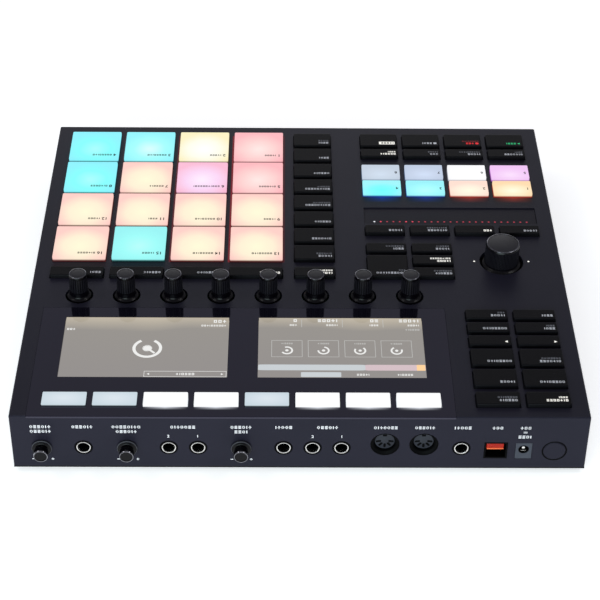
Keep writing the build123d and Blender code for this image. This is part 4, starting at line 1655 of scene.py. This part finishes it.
@dataclass
class ScreenPair:
    """Two lit screens and the generic pictures on them."""

    # Clear polycarbonate over a lit panel: even grey light, with a warm front edge
    glass: ScreenGlass = ScreenGlass(
        "screen_under_clear_plastic", "#95908c", "#98938c", "#c9bea9", 0.9
    )
    # Lit pixels: white lines, greyer frames, a pale band turning pink, and one orange chip
    line_ink: Ink = Ink("screen_white_pixels", "#f2f2f0", glow=0.95)
    grey_ink: Ink = Ink("screen_grey_pixels", "#c3c3c0", glow=0.95)
    tab_ink: Ink = Ink("screen_blue_pixels", "#ccd2d6", glow=0.95)
    pink_ink: Ink = Ink("screen_pink_pixels", "#d8c2c8", glow=0.95)
    warm_ink: Ink = Ink("screen_orange_pixels", "#ffd29a", glow=1.0)
    module_border: float = 5.2
    margin: float = 1.6
    value_height: float = 2.6
    note_height: float = 1.5
    hairline: float = 0.3

    def build(self, frame: dict, press: PrintPress) -> None:
        """Lights the screens and draws their pictures.

        Args:
            frame: The loaded frame.
            press: The patterns for print.
        """
        boxes = loose_boxes(frame, "display_modules")
        border = self.module_border * MM
        front = boxes[0].low.y + border
        rear = boxes[0].high.y - border
        finish_node(frame, "display_modules", self.glass.make(front, rear))
        inks = (self.line_ink, self.grey_ink, self.tab_ink, self.pink_ink, self.warm_ink)
        sheets = {ink: PrintSheet(press, ink.name, CASE, ink, "screen") for ink in inks}
        width = boxes[0].size.x / MM - 2 * self.module_border
        length = (rear - front) / MM
        self._mixer(sheets, boxes[0].top, width, length)
        self._dial(sheets[self.line_ink], boxes[1].top, width, length)
        for sheet in sheets.values():
            sheet.done()

    @staticmethod
    def _at(middle: Vector, across: float, along: float) -> Matrix:
        """Places a mark on a screen, in millimetres from its middle."""
        return on_top(middle + Vector((across, along, 0)) * MM)

    def _dial(self, ink: PrintSheet, middle: Vector, width: float, length: float) -> None:
        """Draws one large dial with a value, a page mark and a chooser.

        Args:
            ink: The white lines.
            middle: The middle of the screen.
            width: The picture's width, in millimetres.
            length: The picture's length, in millimetres.
        """
        dial = self._at(middle, -1.3, 1.3)
        ink.arc(dial, 7.6, 1.8, (-60, 240))
        ink.arc(dial, 1.4, 2.8, (0, 360))
        ink.bar(dial @ spin(135) @ shift(3.4, 0), 5.6, 1.3)
        left, front = -width / 2, -length / 2
        ink.row(self._at(middle, left + self.margin, front + 3.4), 3, self.value_height)
        ink.row(self._at(middle, left + self.margin, front + 7.4), 10, self.note_height)
        ink.row(self._at(middle, width / 2 - 6, front + 11), 3, 1.7)
        chooser = self._at(middle, left + width * 0.248, length / 2 - 2.9)
        ink.frame(chooser, width * 0.49, 5.0, 0.25)
        ink.row(chooser, 6, 1.9, centred=True)
        for side in (-1, 1):
            mark = chooser @ shift(side * (width * 0.245 - 2.6), 0) @ spin(-90 * side)
            ink.stamp(ink.press.triangle, mark, 1.9, 1.9)

    def _mixer(
        self, sheets: dict[Ink, PrintSheet], middle: Vector, width: float, length: float
    ) -> None:
        """Draws four framed dials, a row of values and a row of tabs.

        Args:
            sheets: The inks.
            middle: The middle of the screen.
            width: The picture's width, in millimetres.
            length: The picture's length, in millimetres.
        """
        white, grey = sheets[self.line_ink], sheets[self.grey_ink]
        left, front = -width / 2, -length / 2
        column = width / 4
        for n, (value, note) in enumerate(((5, 5), (2, 4), (5, 5), (1, 3))):
            start = left + n * column + self.margin
            white.row(self._at(middle, start, front + 2.4), value, self.value_height)
            white.row(self._at(middle, start, front + 6.6), note, self.note_height)
            if n:
                rule = self._at(middle, left + n * column - 1.2, front + 5)
                grey.bar(rule, self.hairline, 7.0)
        grey.row(self._at(middle, left + self.margin, front + 10.6), 6, self.note_height)
        for n in range(4):
            place = self._at(middle, left + width * (0.165 + 0.221 * n), 1.2)
            grey.frame(place, 17.8, 15.0, self.hairline)
            ring = place @ shift(0, 1.6)
            white.arc(ring, 3.0, 1.0, (-60 + 30 * n, 200 + 30 * n))
            white.stamp(white.press.dot, ring, 1.9, 1.9)
            grey.row(place @ shift(0, -4.6), 6, 1.2, centred=True)
        row = length / 2 - 9.0
        sheets[self.tab_ink].bar(self._at(middle, width * 0.18, row), width * 0.64, 5.0)
        sheets[self.pink_ink].bar(self._at(middle, width * -0.32, row), width * 0.36, 5.0)
        chip = self._at(middle, left + 2.6, row) @ shift(0, 0, PRINT_THICK)
        sheets[self.warm_ink].bar(chip, 4.8, 5.0)
        for n, count in enumerate((6, 5, 5)):
            place = self._at(middle, left + (n + 0.5) * column, length / 2 - 2.8)
            if n == 2:
                sheets[self.tab_ink].bar(place, column - 1.0, 4.2)
            else:
                white.row(place, count, 1.6, centred=True)


@dataclass
class TouchStrip:
    """The touch strip in its shallow tray, with a row of small lights in front of the keys."""

    # Clear epoxy domes over small lamps: most at low red, three brighter, the last white
    dim_light: Ink = Ink("light_dim_red", "#b83848", glow=0.9)
    strong_light: Ink = Ink("light_red", "#f04a5e", glow=0.95)
    white_light: Ink = Ink("light_white", "#f4f8ff", glow=1.0)
    strong_places: Sequence[int] = (1, 5, 6)  # counted from the white one
    sunk_share: float = 0.3  # a dome's faces below this share of its height are cut off

    def build(self, frame: dict) -> None:
        """Dresses the strip and its lights.

        Args:
            frame: The loaded frame.
        """
        finish_node(frame, "touch_strip", STRIP_FINISH.make())
        boxes = loose_boxes(frame, "strip_leds")
        row = sorted(boxes, key=lambda box: box.centre.x)
        size = row[0].size
        clear_selection()
        bpy.ops.mesh.primitive_uv_sphere_add(segments=16, ring_count=8, radius=0.5)
        pattern = named("light_pattern")
        pattern.scale = (size.x, size.y, size.z * 2)
        settle(pattern)
        deep = -size.z * self.sunk_share
        rework(
            pattern,
            Element.FACES,
            lambda _mesh, face: face.center.z < deep,
            lambda: bpy.ops.mesh.delete(type="FACE"),
        )
        rework(
            pattern,
            Element.EDGES,
            lambda mesh, edge: all(mesh.vertices[n].co.z < deep for n in edge.vertices),
            bpy.ops.mesh.edge_face_add,
        )
        settle(pattern)
        lamps = (self.dim_light, self.strong_light, self.white_light)
        dim, strong, white = (lamp.make() for lamp in lamps)
        for number, box in enumerate(row, start=1):
            place = len(row) - number
            look = strong if place in self.strong_places else dim
            light = copied(pattern, f"strip_light_{number}", box.foot)
            dress(light, CASE, look if place else white, ["strip_leds"])
        discard(pattern)


@dataclass
class RearWall:
    """The rear fittings: jacks, five-pole sockets, data socket, inlet, knobs and print."""

    sides: int = 64
    knob_sides: int = 60
    block_size: Pair = (15.0, 14.0)  # five-pole blocks, seen from behind
    block_setback: float = 3.3
    pole_height: float = 20.7
    pole_radius: float = 3.5
    pole_angles: Sequence[float] = (8, 49, 90, 131, 172)
    slot_size: Triple = (1.35, 3.1, 0.5)
    notch_size: Triple = (2.3, 1.3, 0.5)
    notch_drop: float = 3.8  # below the middle of the slots' fan
    tongue_size: Triple = (9.8, 4.2, 13.5)
    tongue_height: float = 19.2
    tongue_setback: float = 14.05
    tongue_shift: float = 0.4
    # A paler bar along the tongue's lower edge: a painted highlight
    edge_size: Triple = (9.4, 0.9, 0.6)
    edge_height: float = 17.5
    edge_setback: float = 0.85
    inlet_height: float = 17.3
    contact_size: Triple = (3.2, 0.5, 0.4)
    upper_row: float = 33.2
    lower_row: float = 29.8
    inlet_row: float = 26.6
    figure_row: float = 25.6
    sign_row: float = 9.2
    row_height: float = 2.1
    pole_row_height: float = 2.0
    figure_height: float = 1.9
    figure_shift: float = 0.7  # from a jack's middle to the start of its figure
    inlet_rules: Pair = (30.3, 29.6)  # heights of the two rules over the inlet
    rule_size: Pair = (2.2, 0.3)
    # Bars of the minus and the plus: place beside the knob, width and height
    sign_bars: Sequence[Triple] = ((5.3, 1.5, 0.5), (-5.5, 1.5, 0.5), (-5.5, 0.5, 1.5))
    wall: float = 0.0

    def build(self, frame: dict, press: PrintPress) -> None:
        """Models every fitting on the rear wall.

        Args:
            frame: The loaded frame.
            press: The patterns for print.
        """
        self.wall = node_box("top_housing").high.y
        self._jacks(frame)
        self._five_pole(frame)
        self._data_and_power(frame)
        self._knobs()
        self._print(frame, press)

    def _on_wall(self, across: float, height: float, setback: float = 0.0) -> Matrix:
        """Places a piece that faces the rear, in metres, set back by millimetres."""
        place = Vector((across, self.wall - setback * MM, height))
        return Matrix.Translation(place) @ Matrix.Rotation(-math.pi / 2, 4, "X")

    @staticmethod
    def _from_right(frame: dict, node: str) -> list[Box]:
        """Gives the boxes of a node's solids, from the right to the left."""
        return sorted(loose_boxes(frame, node), key=lambda box: -box.centre.x)

    def _jacks(self, frame: dict) -> None:
        """Models a black bush with a bright ring for each jack.

        Args:
            frame: The loaded frame.
        """
        boxes = self._from_right(frame, "jack_rings")
        proud = (boxes[0].high.y - self.wall) / MM
        bush = turned(
            "bush_pattern",
            [
                (5.0, -2.4),
                (5.0, proud - 0.3),
                (4.85, proud - 0.15),
                (4.0, proud - 0.15),
                (3.95, -2.4),
            ],
            self.sides,
            bored=True,
        )
        ring = turned(
            "ring_pattern",
            [
                (3.95, -2.4),
                (3.95, proud - 0.1),
                (3.85, proud),
                (3.6, proud),
                (3.4, proud - 0.2),
                (3.35, -1.0),
                (3.35, -2.4),
            ],
            self.sides,
            bored=True,
        )
        dark, bright = SOCKET_FINISH.make(), RING_FINISH.make()
        for number, box in enumerate(boxes, start=1):
            place = self._on_wall(box.centre.x, box.centre.z)
            dress(copied(bush, f"jack_bush_{number}", place), CASE, dark)
            dress(copied(ring, f"jack_ring_{number}", place), CASE, bright, ["jack_rings"])
        discard(bush, ring)
        finish_node(frame, "jack_sockets", dark)

    def _five_pole(self, frame: dict) -> None:
        """Models the five-pole sockets: a stepped black funnel down to a grey face with slots.

        Args:
            frame: The loaded frame.
        """
        dark, grey = SOCKET_FINISH.make(), INSULATOR_FINISH.make()
        boxes = loose_boxes(frame, "midi_sockets")
        inner = self.wall - self.block_setback * MM
        wide, tall = self.block_size
        size = Vector((wide * MM, inner - boxes[0].low.y, tall * MM))
        block = rounded_block("socket_block_pattern", size, 0.5, 0.3)
        funnel = turned(
            "funnel_pattern",
            [
                (8.0, -2.4),
                (8.0, 0.05),
                (7.8, 0.15),
                (7.2, -0.55),
                (7.05, -0.6),
                (6.5, -1.35),
                (6.35, -1.4),
                (5.55, -2.7),
                (5.55, -3.4),
            ],
            self.sides,
            bored=True,
        )
        face = turned(
            "insulator_pattern",
            [(5.6, -3.4), (5.6, -2.95), (5.4, -2.75), (2.2, -2.75), (2.0, -2.65), (0.5, -2.65)],
            self.sides,
        )
        slot = rounded_block("slot_pattern", Vector(self.slot_size) * MM, 0.6, 0.15)
        notch = rounded_block("notch_pattern", Vector(self.notch_size) * MM, 0.3, 0.15)
        for number, box in enumerate(boxes, start=1):
            name = f"five_pole_{number}"
            foot = Vector((box.centre.x, (box.low.y + inner) / 2, box.low.z))
            dress(copied(block, f"{name}_block", foot), CASE, dark, ["midi_sockets"])
            middle = self._on_wall(box.centre.x, self.pole_height * MM)
            fan = middle @ shift(0, -0.5, -3.1)
            dress(copied(funnel, f"{name}_funnel", middle), CASE, dark, ["midi_sockets"])
            dress(copied(face, f"{name}_insulator", middle), CASE, grey)
            # Dark blocks in the grey face stand for the pin holes and the key notch: painted shade
            # of the holes
            marks = []
            for pole, angle in enumerate(self.pole_angles):
                place = fan @ spin(angle) @ shift(self.pole_radius, 0) @ spin(90)
                marks.append(copied(slot, f"{name}_slot_{pole}", place))
            marks.append(copied(notch, f"{name}_notch", fan @ shift(0, -self.notch_drop)))
            dress(joined(f"{name}_slots", marks), CASE, dark)
        discard(block, funnel, face, slot, notch)

    def _data_and_power(self, frame: dict) -> None:
        """Models the data socket's tongue with a painted highlight on its lower edge, the inlet's
        pin and contact, and a black ring of painted shade over the gap round the button.

        Args:
            frame: The loaded frame.
        """
        dark, bright = SOCKET_FINISH.make(), RING_FINISH.make()
        finish_node(frame, "usb_socket", dark)
        across = node_box("usb_socket").centre.x + self.tongue_shift * MM
        tongue = rounded_block("data_tongue", Vector(self.tongue_size) * MM, 0.9, 0.5)
        place = self._on_wall(across, self.tongue_height * MM, self.tongue_setback)
        tongue.data.transform(place)
        dress(tongue, CASE, TONGUE_FINISH.make())
        # A paler bar at the tongue's lower edge: a painted highlight
        edge = rounded_block("data_tongue_highlight", Vector(self.edge_size) * MM, 0.4, 0.2)
        edge.data.transform(self._on_wall(across, self.edge_height * MM, self.edge_setback))
        dress(edge, CASE, TONGUE_HIGHLIGHT_FINISH.make())
        finish_node(frame, "power_socket", INLET_FINISH.make())
        inlet = node_box("power_socket").centre.x
        place = self._on_wall(inlet, self.inlet_height * MM)
        sleeve = turned(
            "inlet_sleeve",
            [(2.98, -9.8), (2.98, -0.3), (2.8, -0.1), (2.6, -0.3), (2.6, -9.8)],
            self.sides,
            bored=True,
        )
        sleeve.data.transform(place)
        dress(sleeve, CASE, dark)
        pin = turned(
            "inlet_pin", [(1.05, -9.9), (1.05, -1.9), (0.8, -1.45), (0.3, -1.35)], self.sides // 2
        )
        pin.data.transform(place)
        dress(pin, CASE, bright)
        contact = rounded_block("inlet_contact", Vector(self.contact_size) * MM, 0.2, 0.1)
        contact.data.transform(place @ shift(0, 1.9, -1.6))
        dress(contact, CASE, bright)
        # A flat black ring over the gap round the button: painted shade
        button = node_box("power_button")
        groove = turned(
            "button_gap_painted_shade",
            [(7.12, -0.5), (7.12, 0.03), (7.05, 0.08), (6.42, 0.08), (6.34, 0.0), (6.34, -0.5)],
            self.sides,
            bored=True,
        )
        groove.data.transform(self._on_wall(button.centre.x, button.centre.z))
        dress(groove, CASE, dark)

    def _knobs(self) -> None:
        """Models one small rear knob and copies it onto each knob's node."""
        profile = [
            (2.0, -5.9),
            (2.0, 0.35),
            (5.4, 0.35),
            (5.6, 0.6),
            (5.6, 1.2),
            (5.35, 1.5),
            (4.3, 1.6),
            (3.7, 1.9),
            (3.6, 3.2),
            (3.95, 3.6),
            (4.08, 4.2),
            (4.08, 7.35),
            (3.95, 7.7),
            (3.6, 7.95),
            (3.2, 7.95),
            (3.05, 7.75),
            (0.6, 7.75),
        ]
        pattern = turned("rear_knob_pattern", profile, self.knob_sides)
        flute(pattern, self.knob_sides, (4.4, 7.2), 3, (0.05, 0.16))
        rim = turned(
            "rear_knob_rim_pattern",
            [(4.1, 7.35), (4.0, 7.7), (3.82, 7.97), (3.55, 7.97), (3.55, 7.35)],
            self.knob_sides,
            bored=True,
        )
        # A pale ring on the flange's edge: a painted highlight
        edge = turned(
            "rear_knob_highlight_pattern",
            [(5.62, 0.9), (5.62, 1.22), (5.48, 1.48), (5.33, 1.55), (5.33, 0.9)],
            self.knob_sides,
            bored=True,
        )
        # The edge ring's pale lacquer is a painted highlight
        paint, cut, satin = KNOB_FINISH.make(), RIM_FINISH.make(), KNOB_EDGE_HIGHLIGHT.make()
        for node in ("phones_knob", "line_knob", "mic_knob"):
            box = node_box(node)
            place = self._on_wall(box.centre.x, box.centre.z)
            dress(copied(pattern, f"{node}_cap", place), node, paint, [node])
            dress(copied(rim, f"{node}_rim", place), node, cut)
            dress(copied(edge, f"{node}_edge", place), node, satin)
        discard(pattern, rim, edge)

    def _print(self, frame: dict, press: PrintPress) -> None:
        """Prints the rear wall's rows of blocks and the signs beside its knobs.

        Args:
            frame: The loaded frame.
            press: The patterns for print.
        """
        ink = PrintSheet(press, "rear_print", CASE, REAR_INK, "case")

        def at(across: float, height: float) -> Matrix:
            """Places a mark on the rear wall, in metres across and millimetres up."""
            return reading(Vector((across, self.wall, height * MM)), -RIGHT, UP)

        def centred_row(across: float, height: float, count: int) -> None:
            """Prints a centred row, in metres across and millimetres up."""
            ink.row(at(across, height), count, self.row_height, centred=True)

        counts = {"phones_knob": (6, 6), "line_knob": (8, 6), "mic_knob": (6, 4)}
        for node, (first, second) in counts.items():
            middle = node_box(node).centre.x
            centred_row(middle, self.upper_row, first)
            centred_row(middle, self.lower_row, second)
            for beside, width, height in self.sign_bars:
                ink.bar(at(middle + beside * MM, self.sign_row), width, height)
        jacks = self._from_right(frame, "jack_rings")
        phones, out_right, out_left, mic, in_two, in_one, pedal = (box.centre.x for box in jacks)
        outputs, inputs = (out_right + out_left) / 2, (in_two + in_one) / 2
        for across, count in ((phones, 6), (outputs, 7), (mic, 5), (inputs, 6), (pedal, 5)):
            centred_row(across, self.upper_row, count)
        for across, value in ((out_right, 2), (out_left, 1), (in_two, 2), (in_one, 1)):
            place = at(across + self.figure_shift * MM, self.figure_row)
            ink.number(place, value, self.figure_height)
        for box, count in zip(self._from_right(frame, "midi_sockets"), (7, 6)):
            place = at(box.centre.x, self.upper_row)
            ink.row(place, count, self.pole_row_height, centred=True)
        inlet = node_box("power_socket").centre.x
        for across in (node_box("usb_socket").centre.x, inlet):
            centred_row(across, self.upper_row, 3)
        for height in self.inlet_rules:
            ink.bar(at(inlet, height), *self.rule_size)
        centred_row(inlet, self.inlet_row, 4)
        ink.done()


@dataclass
class CaseShell:
    """The case's own solids, with their finishes, and its feet and screws."""

    group_spill: Sequence[str] = ("#a83018", "#a02c1a", "#0c2f9c", "#0a34a8")
    pad_spill: Sequence[str] = ("#7a0e14", "#560a0e", "#28060a")
    key_spill: str = "#f4f8ff"
    group_fall: Pair = (1.6, 6.5)
    key_fall: Pair = (1.3, 2.8)
    foot_sides: int = 56
    screw_sides: int = 36

    def build(self, frame: dict) -> None:
        """Dresses the case's nodes and models its feet and screws.

        Args:
            frame: The loaded frame.
        """
        shell, panel = CASE_FINISH.make(), PANEL_FINISH.make()
        groups = loose_boxes(frame, "group_keys")
        self._behind_keys(groups, self.group_spill, self.group_fall).throw_on(shell)
        self._beside_pads().throw_on(shell)
        lit = [self.key_spill if key is WHITE_KEY else None for key in DISPLAY_LIGHTS]
        keys = loose_boxes(frame, "display_keys")
        self._behind_keys(keys, lit, self.key_fall).throw_on(panel)
        looks = {
            "top_housing": shell,
            "power_button": CASE_FINISH.make(),
            "display_panel": panel,
            "base_plate": BASE_FINISH.make(),
            "jog_shaft": SHAFT_FINISH.make(),
        }
        boards = ("main_board", "pad_sensor_board", "io_board")
        looks.update(dict.fromkeys(boards, BOARD_FINISH.make()))
        inner = ("key_switches", "encoder_bodies", "rear_pots", "power_switch")
        rings = ("jog_base", "jog_rocker", "jog_cradle")
        looks.update(dict.fromkeys(inner + rings, INNER_FINISH.make()))
        for node, material in looks.items():
            finish_node(frame, node, material)
        self._feet(frame)
        self._screws(frame)

    @staticmethod
    def _behind_keys(
        boxes: Sequence[Box], tones: Sequence[str | None], fall: Pair
    ) -> LightSpill:
        """Works out the light behind a row of lit keys, strongest behind each key's middle.

        Args:
            boxes: The row's boxes, from the left.
            tones: The light of each key, or none.
            fall: Where it has fallen to a half and to nothing, in millimetres behind the key.

        Returns:
            The light.
        """
        across = []
        for box, tone in zip(boxes, tones):
            if tone:
                low, high = box.low.x + LIP * MM, box.high.x - LIP * MM
                across += [(low, BLACK), (box.centre.x, tone), (high, BLACK)]
        edge = boxes[0].high.y - LIP * MM
        half, reach = fall
        steps = ((-0.5, BLACK), (0.1, WHITE), (half, "#b4b4b4"), (reach, BLACK))
        return LightSpill(across, [(edge + step * MM, share) for step, share in steps])

    def _beside_pads(self) -> LightSpill:
        """Works out the red light in the gaps beside the pads, strongest at the left.

        Returns:
            The light.
        """
        first, last = node_box("pad_1"), node_box("pad_16")
        left = first.low.x + LIP * MM
        dim = self.pad_spill[1]
        across = [(left - 1.4 * MM, BLACK), (left - 0.3 * MM, dim), (left, BLACK)]
        for column, tone in enumerate(self.pad_spill, start=1):
            edge = node_box(f"pad_{column}").high.x - LIP * MM
            across += [
                (edge, BLACK),
                (edge + 0.2 * MM, tone),
                (edge + 0.9 * MM, tone),
                (edge + 1.5 * MM, BLACK),
            ]
        ends = (first.low.y, first.low.y + MM, last.high.y - MM, last.high.y)
        return LightSpill(across, list(zip(ends, (BLACK, WHITE, WHITE, BLACK))))

    def _feet(self, frame: dict) -> None:
        """Models the rubber feet, each with a rounded edge and a hollow underside.

        Args:
            frame: The loaded frame.
        """
        boxes = loose_boxes(frame, "rubber_feet")
        tall = boxes[0].size.z / MM
        pattern = turned(
            "foot_pattern",
            [
                (4.0, 0.7),
                (4.6, 0.3),
                (5.2, 0.0),
                (8.0, 0.0),
                (8.7, 0.35),
                (8.95, 1.0),
                (8.95, tall),
                (0.5, tall),
            ],
            self.foot_sides,
        )
        rubber = FOOT_FINISH.make()
        for number, box in enumerate(boxes, start=1):
            foot = copied(pattern, f"foot_{number}", box.foot)
            dress(foot, CASE, rubber, ["rubber_feet"])
        discard(pattern)

    def _screws(self, frame: dict) -> None:
        """Models the screws under the base, each with a round recess in a domed head.

        Args:
            frame: The loaded frame.
        """
        boxes = loose_boxes(frame, "case_screws")
        tall = boxes[0].size.z / MM
        pattern = turned(
            "screw_pattern",
            [
                (1.2, 0.9),
                (1.3, 0.1),
                (1.5, 0.02),
                (2.2, 0.15),
                (2.7, 0.6),
                (2.75, 1.4),
                (1.45, 1.4),
                (1.45, tall - 1.0),
                (0.6, tall),
            ],
            self.screw_sides,
        )
        zinc = SCREW_FINISH.make()
        for number, box in enumerate(boxes, start=1):
            screw = copied(pattern, f"screw_{number}", box.foot)
            dress(screw, CASE, zinc, ["case_screws"])
        discard(pattern)


@dataclass(frozen=True)
class Lamp:
    """A square soft lamp that faces the object, in metres and watts."""

    name: str
    place: Triple
    side: float
    power: float
    tone: str = WHITE

    def hang(self) -> None:
        """Adds the lamp to the scene."""
        clear_selection()
        aim = (-Vector(self.place)).to_track_quat("-Z", "Y").to_euler()
        bpy.ops.object.light_add(type="AREA", location=self.place, rotation=aim)
        lamp = bpy.context.object
        lamp.name = self.name
        lamp.data.size = self.side
        lamp.data.energy = self.power
        lamp.data.color = colour(self.tone)[:3]


@dataclass
class Studio:
    """A pale floor, soft lamps and a camera behind and above the object."""

    lens: float = 108.43
    sensor: float = 36.0
    camera_place: Vector = field(default_factory=lambda: Vector((10.858, 883.058, 702.567)) * MM)
    camera_target: Vector = field(default_factory=lambda: Vector((-0.427, 38.530, 41.0)) * MM)
    camera_roll: float = 0.69063
    floor_half: float = 6.0
    # Paper, matt and nearly white: it takes the shadow and has no shine
    floor_tones: tuple[str, str] = ("#f8f8f8", "#f9f9f9")
    floor_mottle_mm: float = 250.0
    floor_lift: float = 0.55
    world_tone: str = "#f2f2fb"
    world_strength: float = 0.37
    lamps: Sequence[Lamp] = (
        Lamp("left_lamp", (-0.95, 0.1, 1.25), 0.32, 2.2),
        Lamp("right_lamp", (0.95, 0.1, 1.25), 0.32, 1.8),
        Lamp("front_lamp", (0.1, -2.4, 0.8), 1.6, 7.2),
        Lamp("rear_lamp", (0.4, 1.7, 0.35), 1.2, 33.5, "#e2f7fa"),
    )

    def build(self) -> None:
        """Sets up the floor, the light and the camera."""
        self._floor()
        self._world()
        for lamp in self.lamps:
            lamp.hang()
        self._camera()
        bpy.context.scene.view_settings.view_transform = "Standard"

    def _floor(self) -> None:
        """Lays the floor."""
        clear_selection()
        bpy.ops.mesh.primitive_plane_add(size=2 * self.floor_half, location=(0, 0, 0))
        floor = named("studio_floor")
        values = {
            "Emission Color": colour(WHITE),
            "Roughness": 0.9,
            "Specular IOR Level": 0.1,
        }
        material, tree, shader = blank_material("floor_paper", values)
        place = add_node(tree, "ShaderNodeTexCoord").outputs["Object"]
        mottle = add_node(
            tree,
            "ShaderNodeTexNoise",
            {"Vector": place, "Scale": 1 / (self.floor_mottle_mm * MM)},
        )
        tones = add_node(
            tree,
            "ShaderNodeValToRGB",
            {"Fac": mottle.outputs["Fac"]},
            stops=tuple(zip((0.3, 0.7), self.floor_tones)),
        )
        rays = add_node(tree, "ShaderNodeLightPath").outputs
        seen = rays["Is Camera Ray"]
        for ray in ("Is Glossy Ray", "Is Transmission Ray"):
            both = add_node(tree, "ShaderNodeMath", {0: seen, 1: rays[ray]}, operation="ADD")
            seen = both.outputs["Value"]
        lift = add_node(
            tree, "ShaderNodeMath", {0: seen, 1: self.floor_lift}, operation="MULTIPLY"
        )
        tree.links.new(tones.outputs["Color"], shader.inputs["Base Color"])
        tree.links.new(lift.outputs["Value"], shader.inputs["Emission Strength"])
        floor.data.materials.append(material)

    def _world(self) -> None:
        """Lights the studio evenly from all round."""
        world = bpy.data.worlds.new("studio_world")
        world.use_nodes = True
        background = world.node_tree.nodes["Background"]
        background.inputs["Color"].default_value = colour(self.world_tone)
        background.inputs["Strength"].default_value = self.world_strength
        bpy.context.scene.world = world

    def _camera(self) -> None:
        """Places the camera at the photograph's view."""
        forward = (self.camera_target - self.camera_place).normalized()
        level = forward.cross(UP).normalized()
        over = level.cross(forward)
        roll = math.radians(self.camera_roll)
        right = level * math.cos(roll) + over * math.sin(roll)
        above = over * math.cos(roll) - level * math.sin(roll)
        axes = Matrix((right, above, -forward)).transposed().to_4x4()
        clear_selection()
        bpy.ops.object.camera_add()
        camera = bpy.context.object
        camera.name = "photo_camera"
        camera.matrix_world = Matrix.Translation(self.camera_place) @ axes
        camera.data.lens = self.lens
        camera.data.sensor_width = self.sensor
        camera.data.sensor_fit = "HORIZONTAL"
        camera.data.clip_start = 0.01
        bpy.context.scene.camera = camera


CONTROL_LEGENDS = (
    Legend(7, 4, LIT_INK),
    Legend(6, 8),
    Legend(8),
    Legend(5),
    Legend(7, 8),
    Legend(8),
    Legend(0, sign=Sign.BACK, ink=LIT_INK),
    Legend(0, sign=Sign.PLAY, ink=LIT_INK),
    Legend(4, 4),
    Legend(8),
    Legend(4),
    Legend(5, 3),
)
PERFORMANCE_LEGENDS = (
    Legend(6, 8),
    Legend(10, 3),
    Legend(5, 9, LIT_INK),
    Legend(5, 6),
    Legend(4, 8),
    Legend(5),
    Legend(3, ink=LIT_INK),
    Legend(7, 9),
    Legend(5),
)
TRANSPORT_LEGENDS = (
    Legend(7, 4),
    Legend(5, 10),
    Legend(3, 5),
    Legend(6, 4, LIT_INK),
    Legend(4, ink=GREEN_INK, sign=Sign.PLAY),
    Legend(3, 8, RED_INK, Sign.DOT),
    Legend(4, ink=PLAIN_INK, sign=Sign.SQUARE),
    Legend(5, ink=LIT_INK, boxed=True),
)
MODE_LEGENDS = (
    Legend(5, 6, LIT_INK),
    Legend(5, 7),
    Legend(7),
    Legend(6),
    Legend(9, 8),
    Legend(9, 6),
    Legend(6),
    Legend(4),
    Legend(4, 5),
)
PAD_MODE_LEGENDS = (Legend(7, ink=LIT_INK), Legend(8), Legend(6), Legend(4))
BANKS = (
    KeyBank("control_keys", CONTROL_LEGENDS),
    KeyBank("performance_keys", PERFORMANCE_LEGENDS),
    KeyBank("transport_keys", TRANSPORT_LEGENDS),
    KeyBank("mode_keys", MODE_LEGENDS),
    KeyBank("pad_mode_keys", PAD_MODE_LEGENDS),
)


def main() -> None:
    """Builds the object's looks and its studio."""
    logging.basicConfig(level=logging.INFO, format="%(message)s")
    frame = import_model()
    CaseShell().build(frame)
    press = PrintPress()
    for bank in BANKS:
        bank.build(frame, press)
    groups = LitKeys("group_keys", "lit_key", GROUP_LIGHTS, numbered=True, lamp_setback=4.0)
    groups.build(frame, press)
    LitKeys("display_keys", "screen_key", DISPLAY_LIGHTS, numbered=False).build(frame, press)
    slots = {piece["node"]: piece["material_slot"] for piece in frame["record"]["subparts"]}
    PadGrid().build(slots, press)
    KnobRow().build()
    JogDial().build(press)
    ScreenPair().build(frame, press)
    TouchStrip().build(frame)
    RearWall().build(frame, press)
    press.clear()
    Studio().build()
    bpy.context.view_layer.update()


if __name__ == "__main__":
    main()
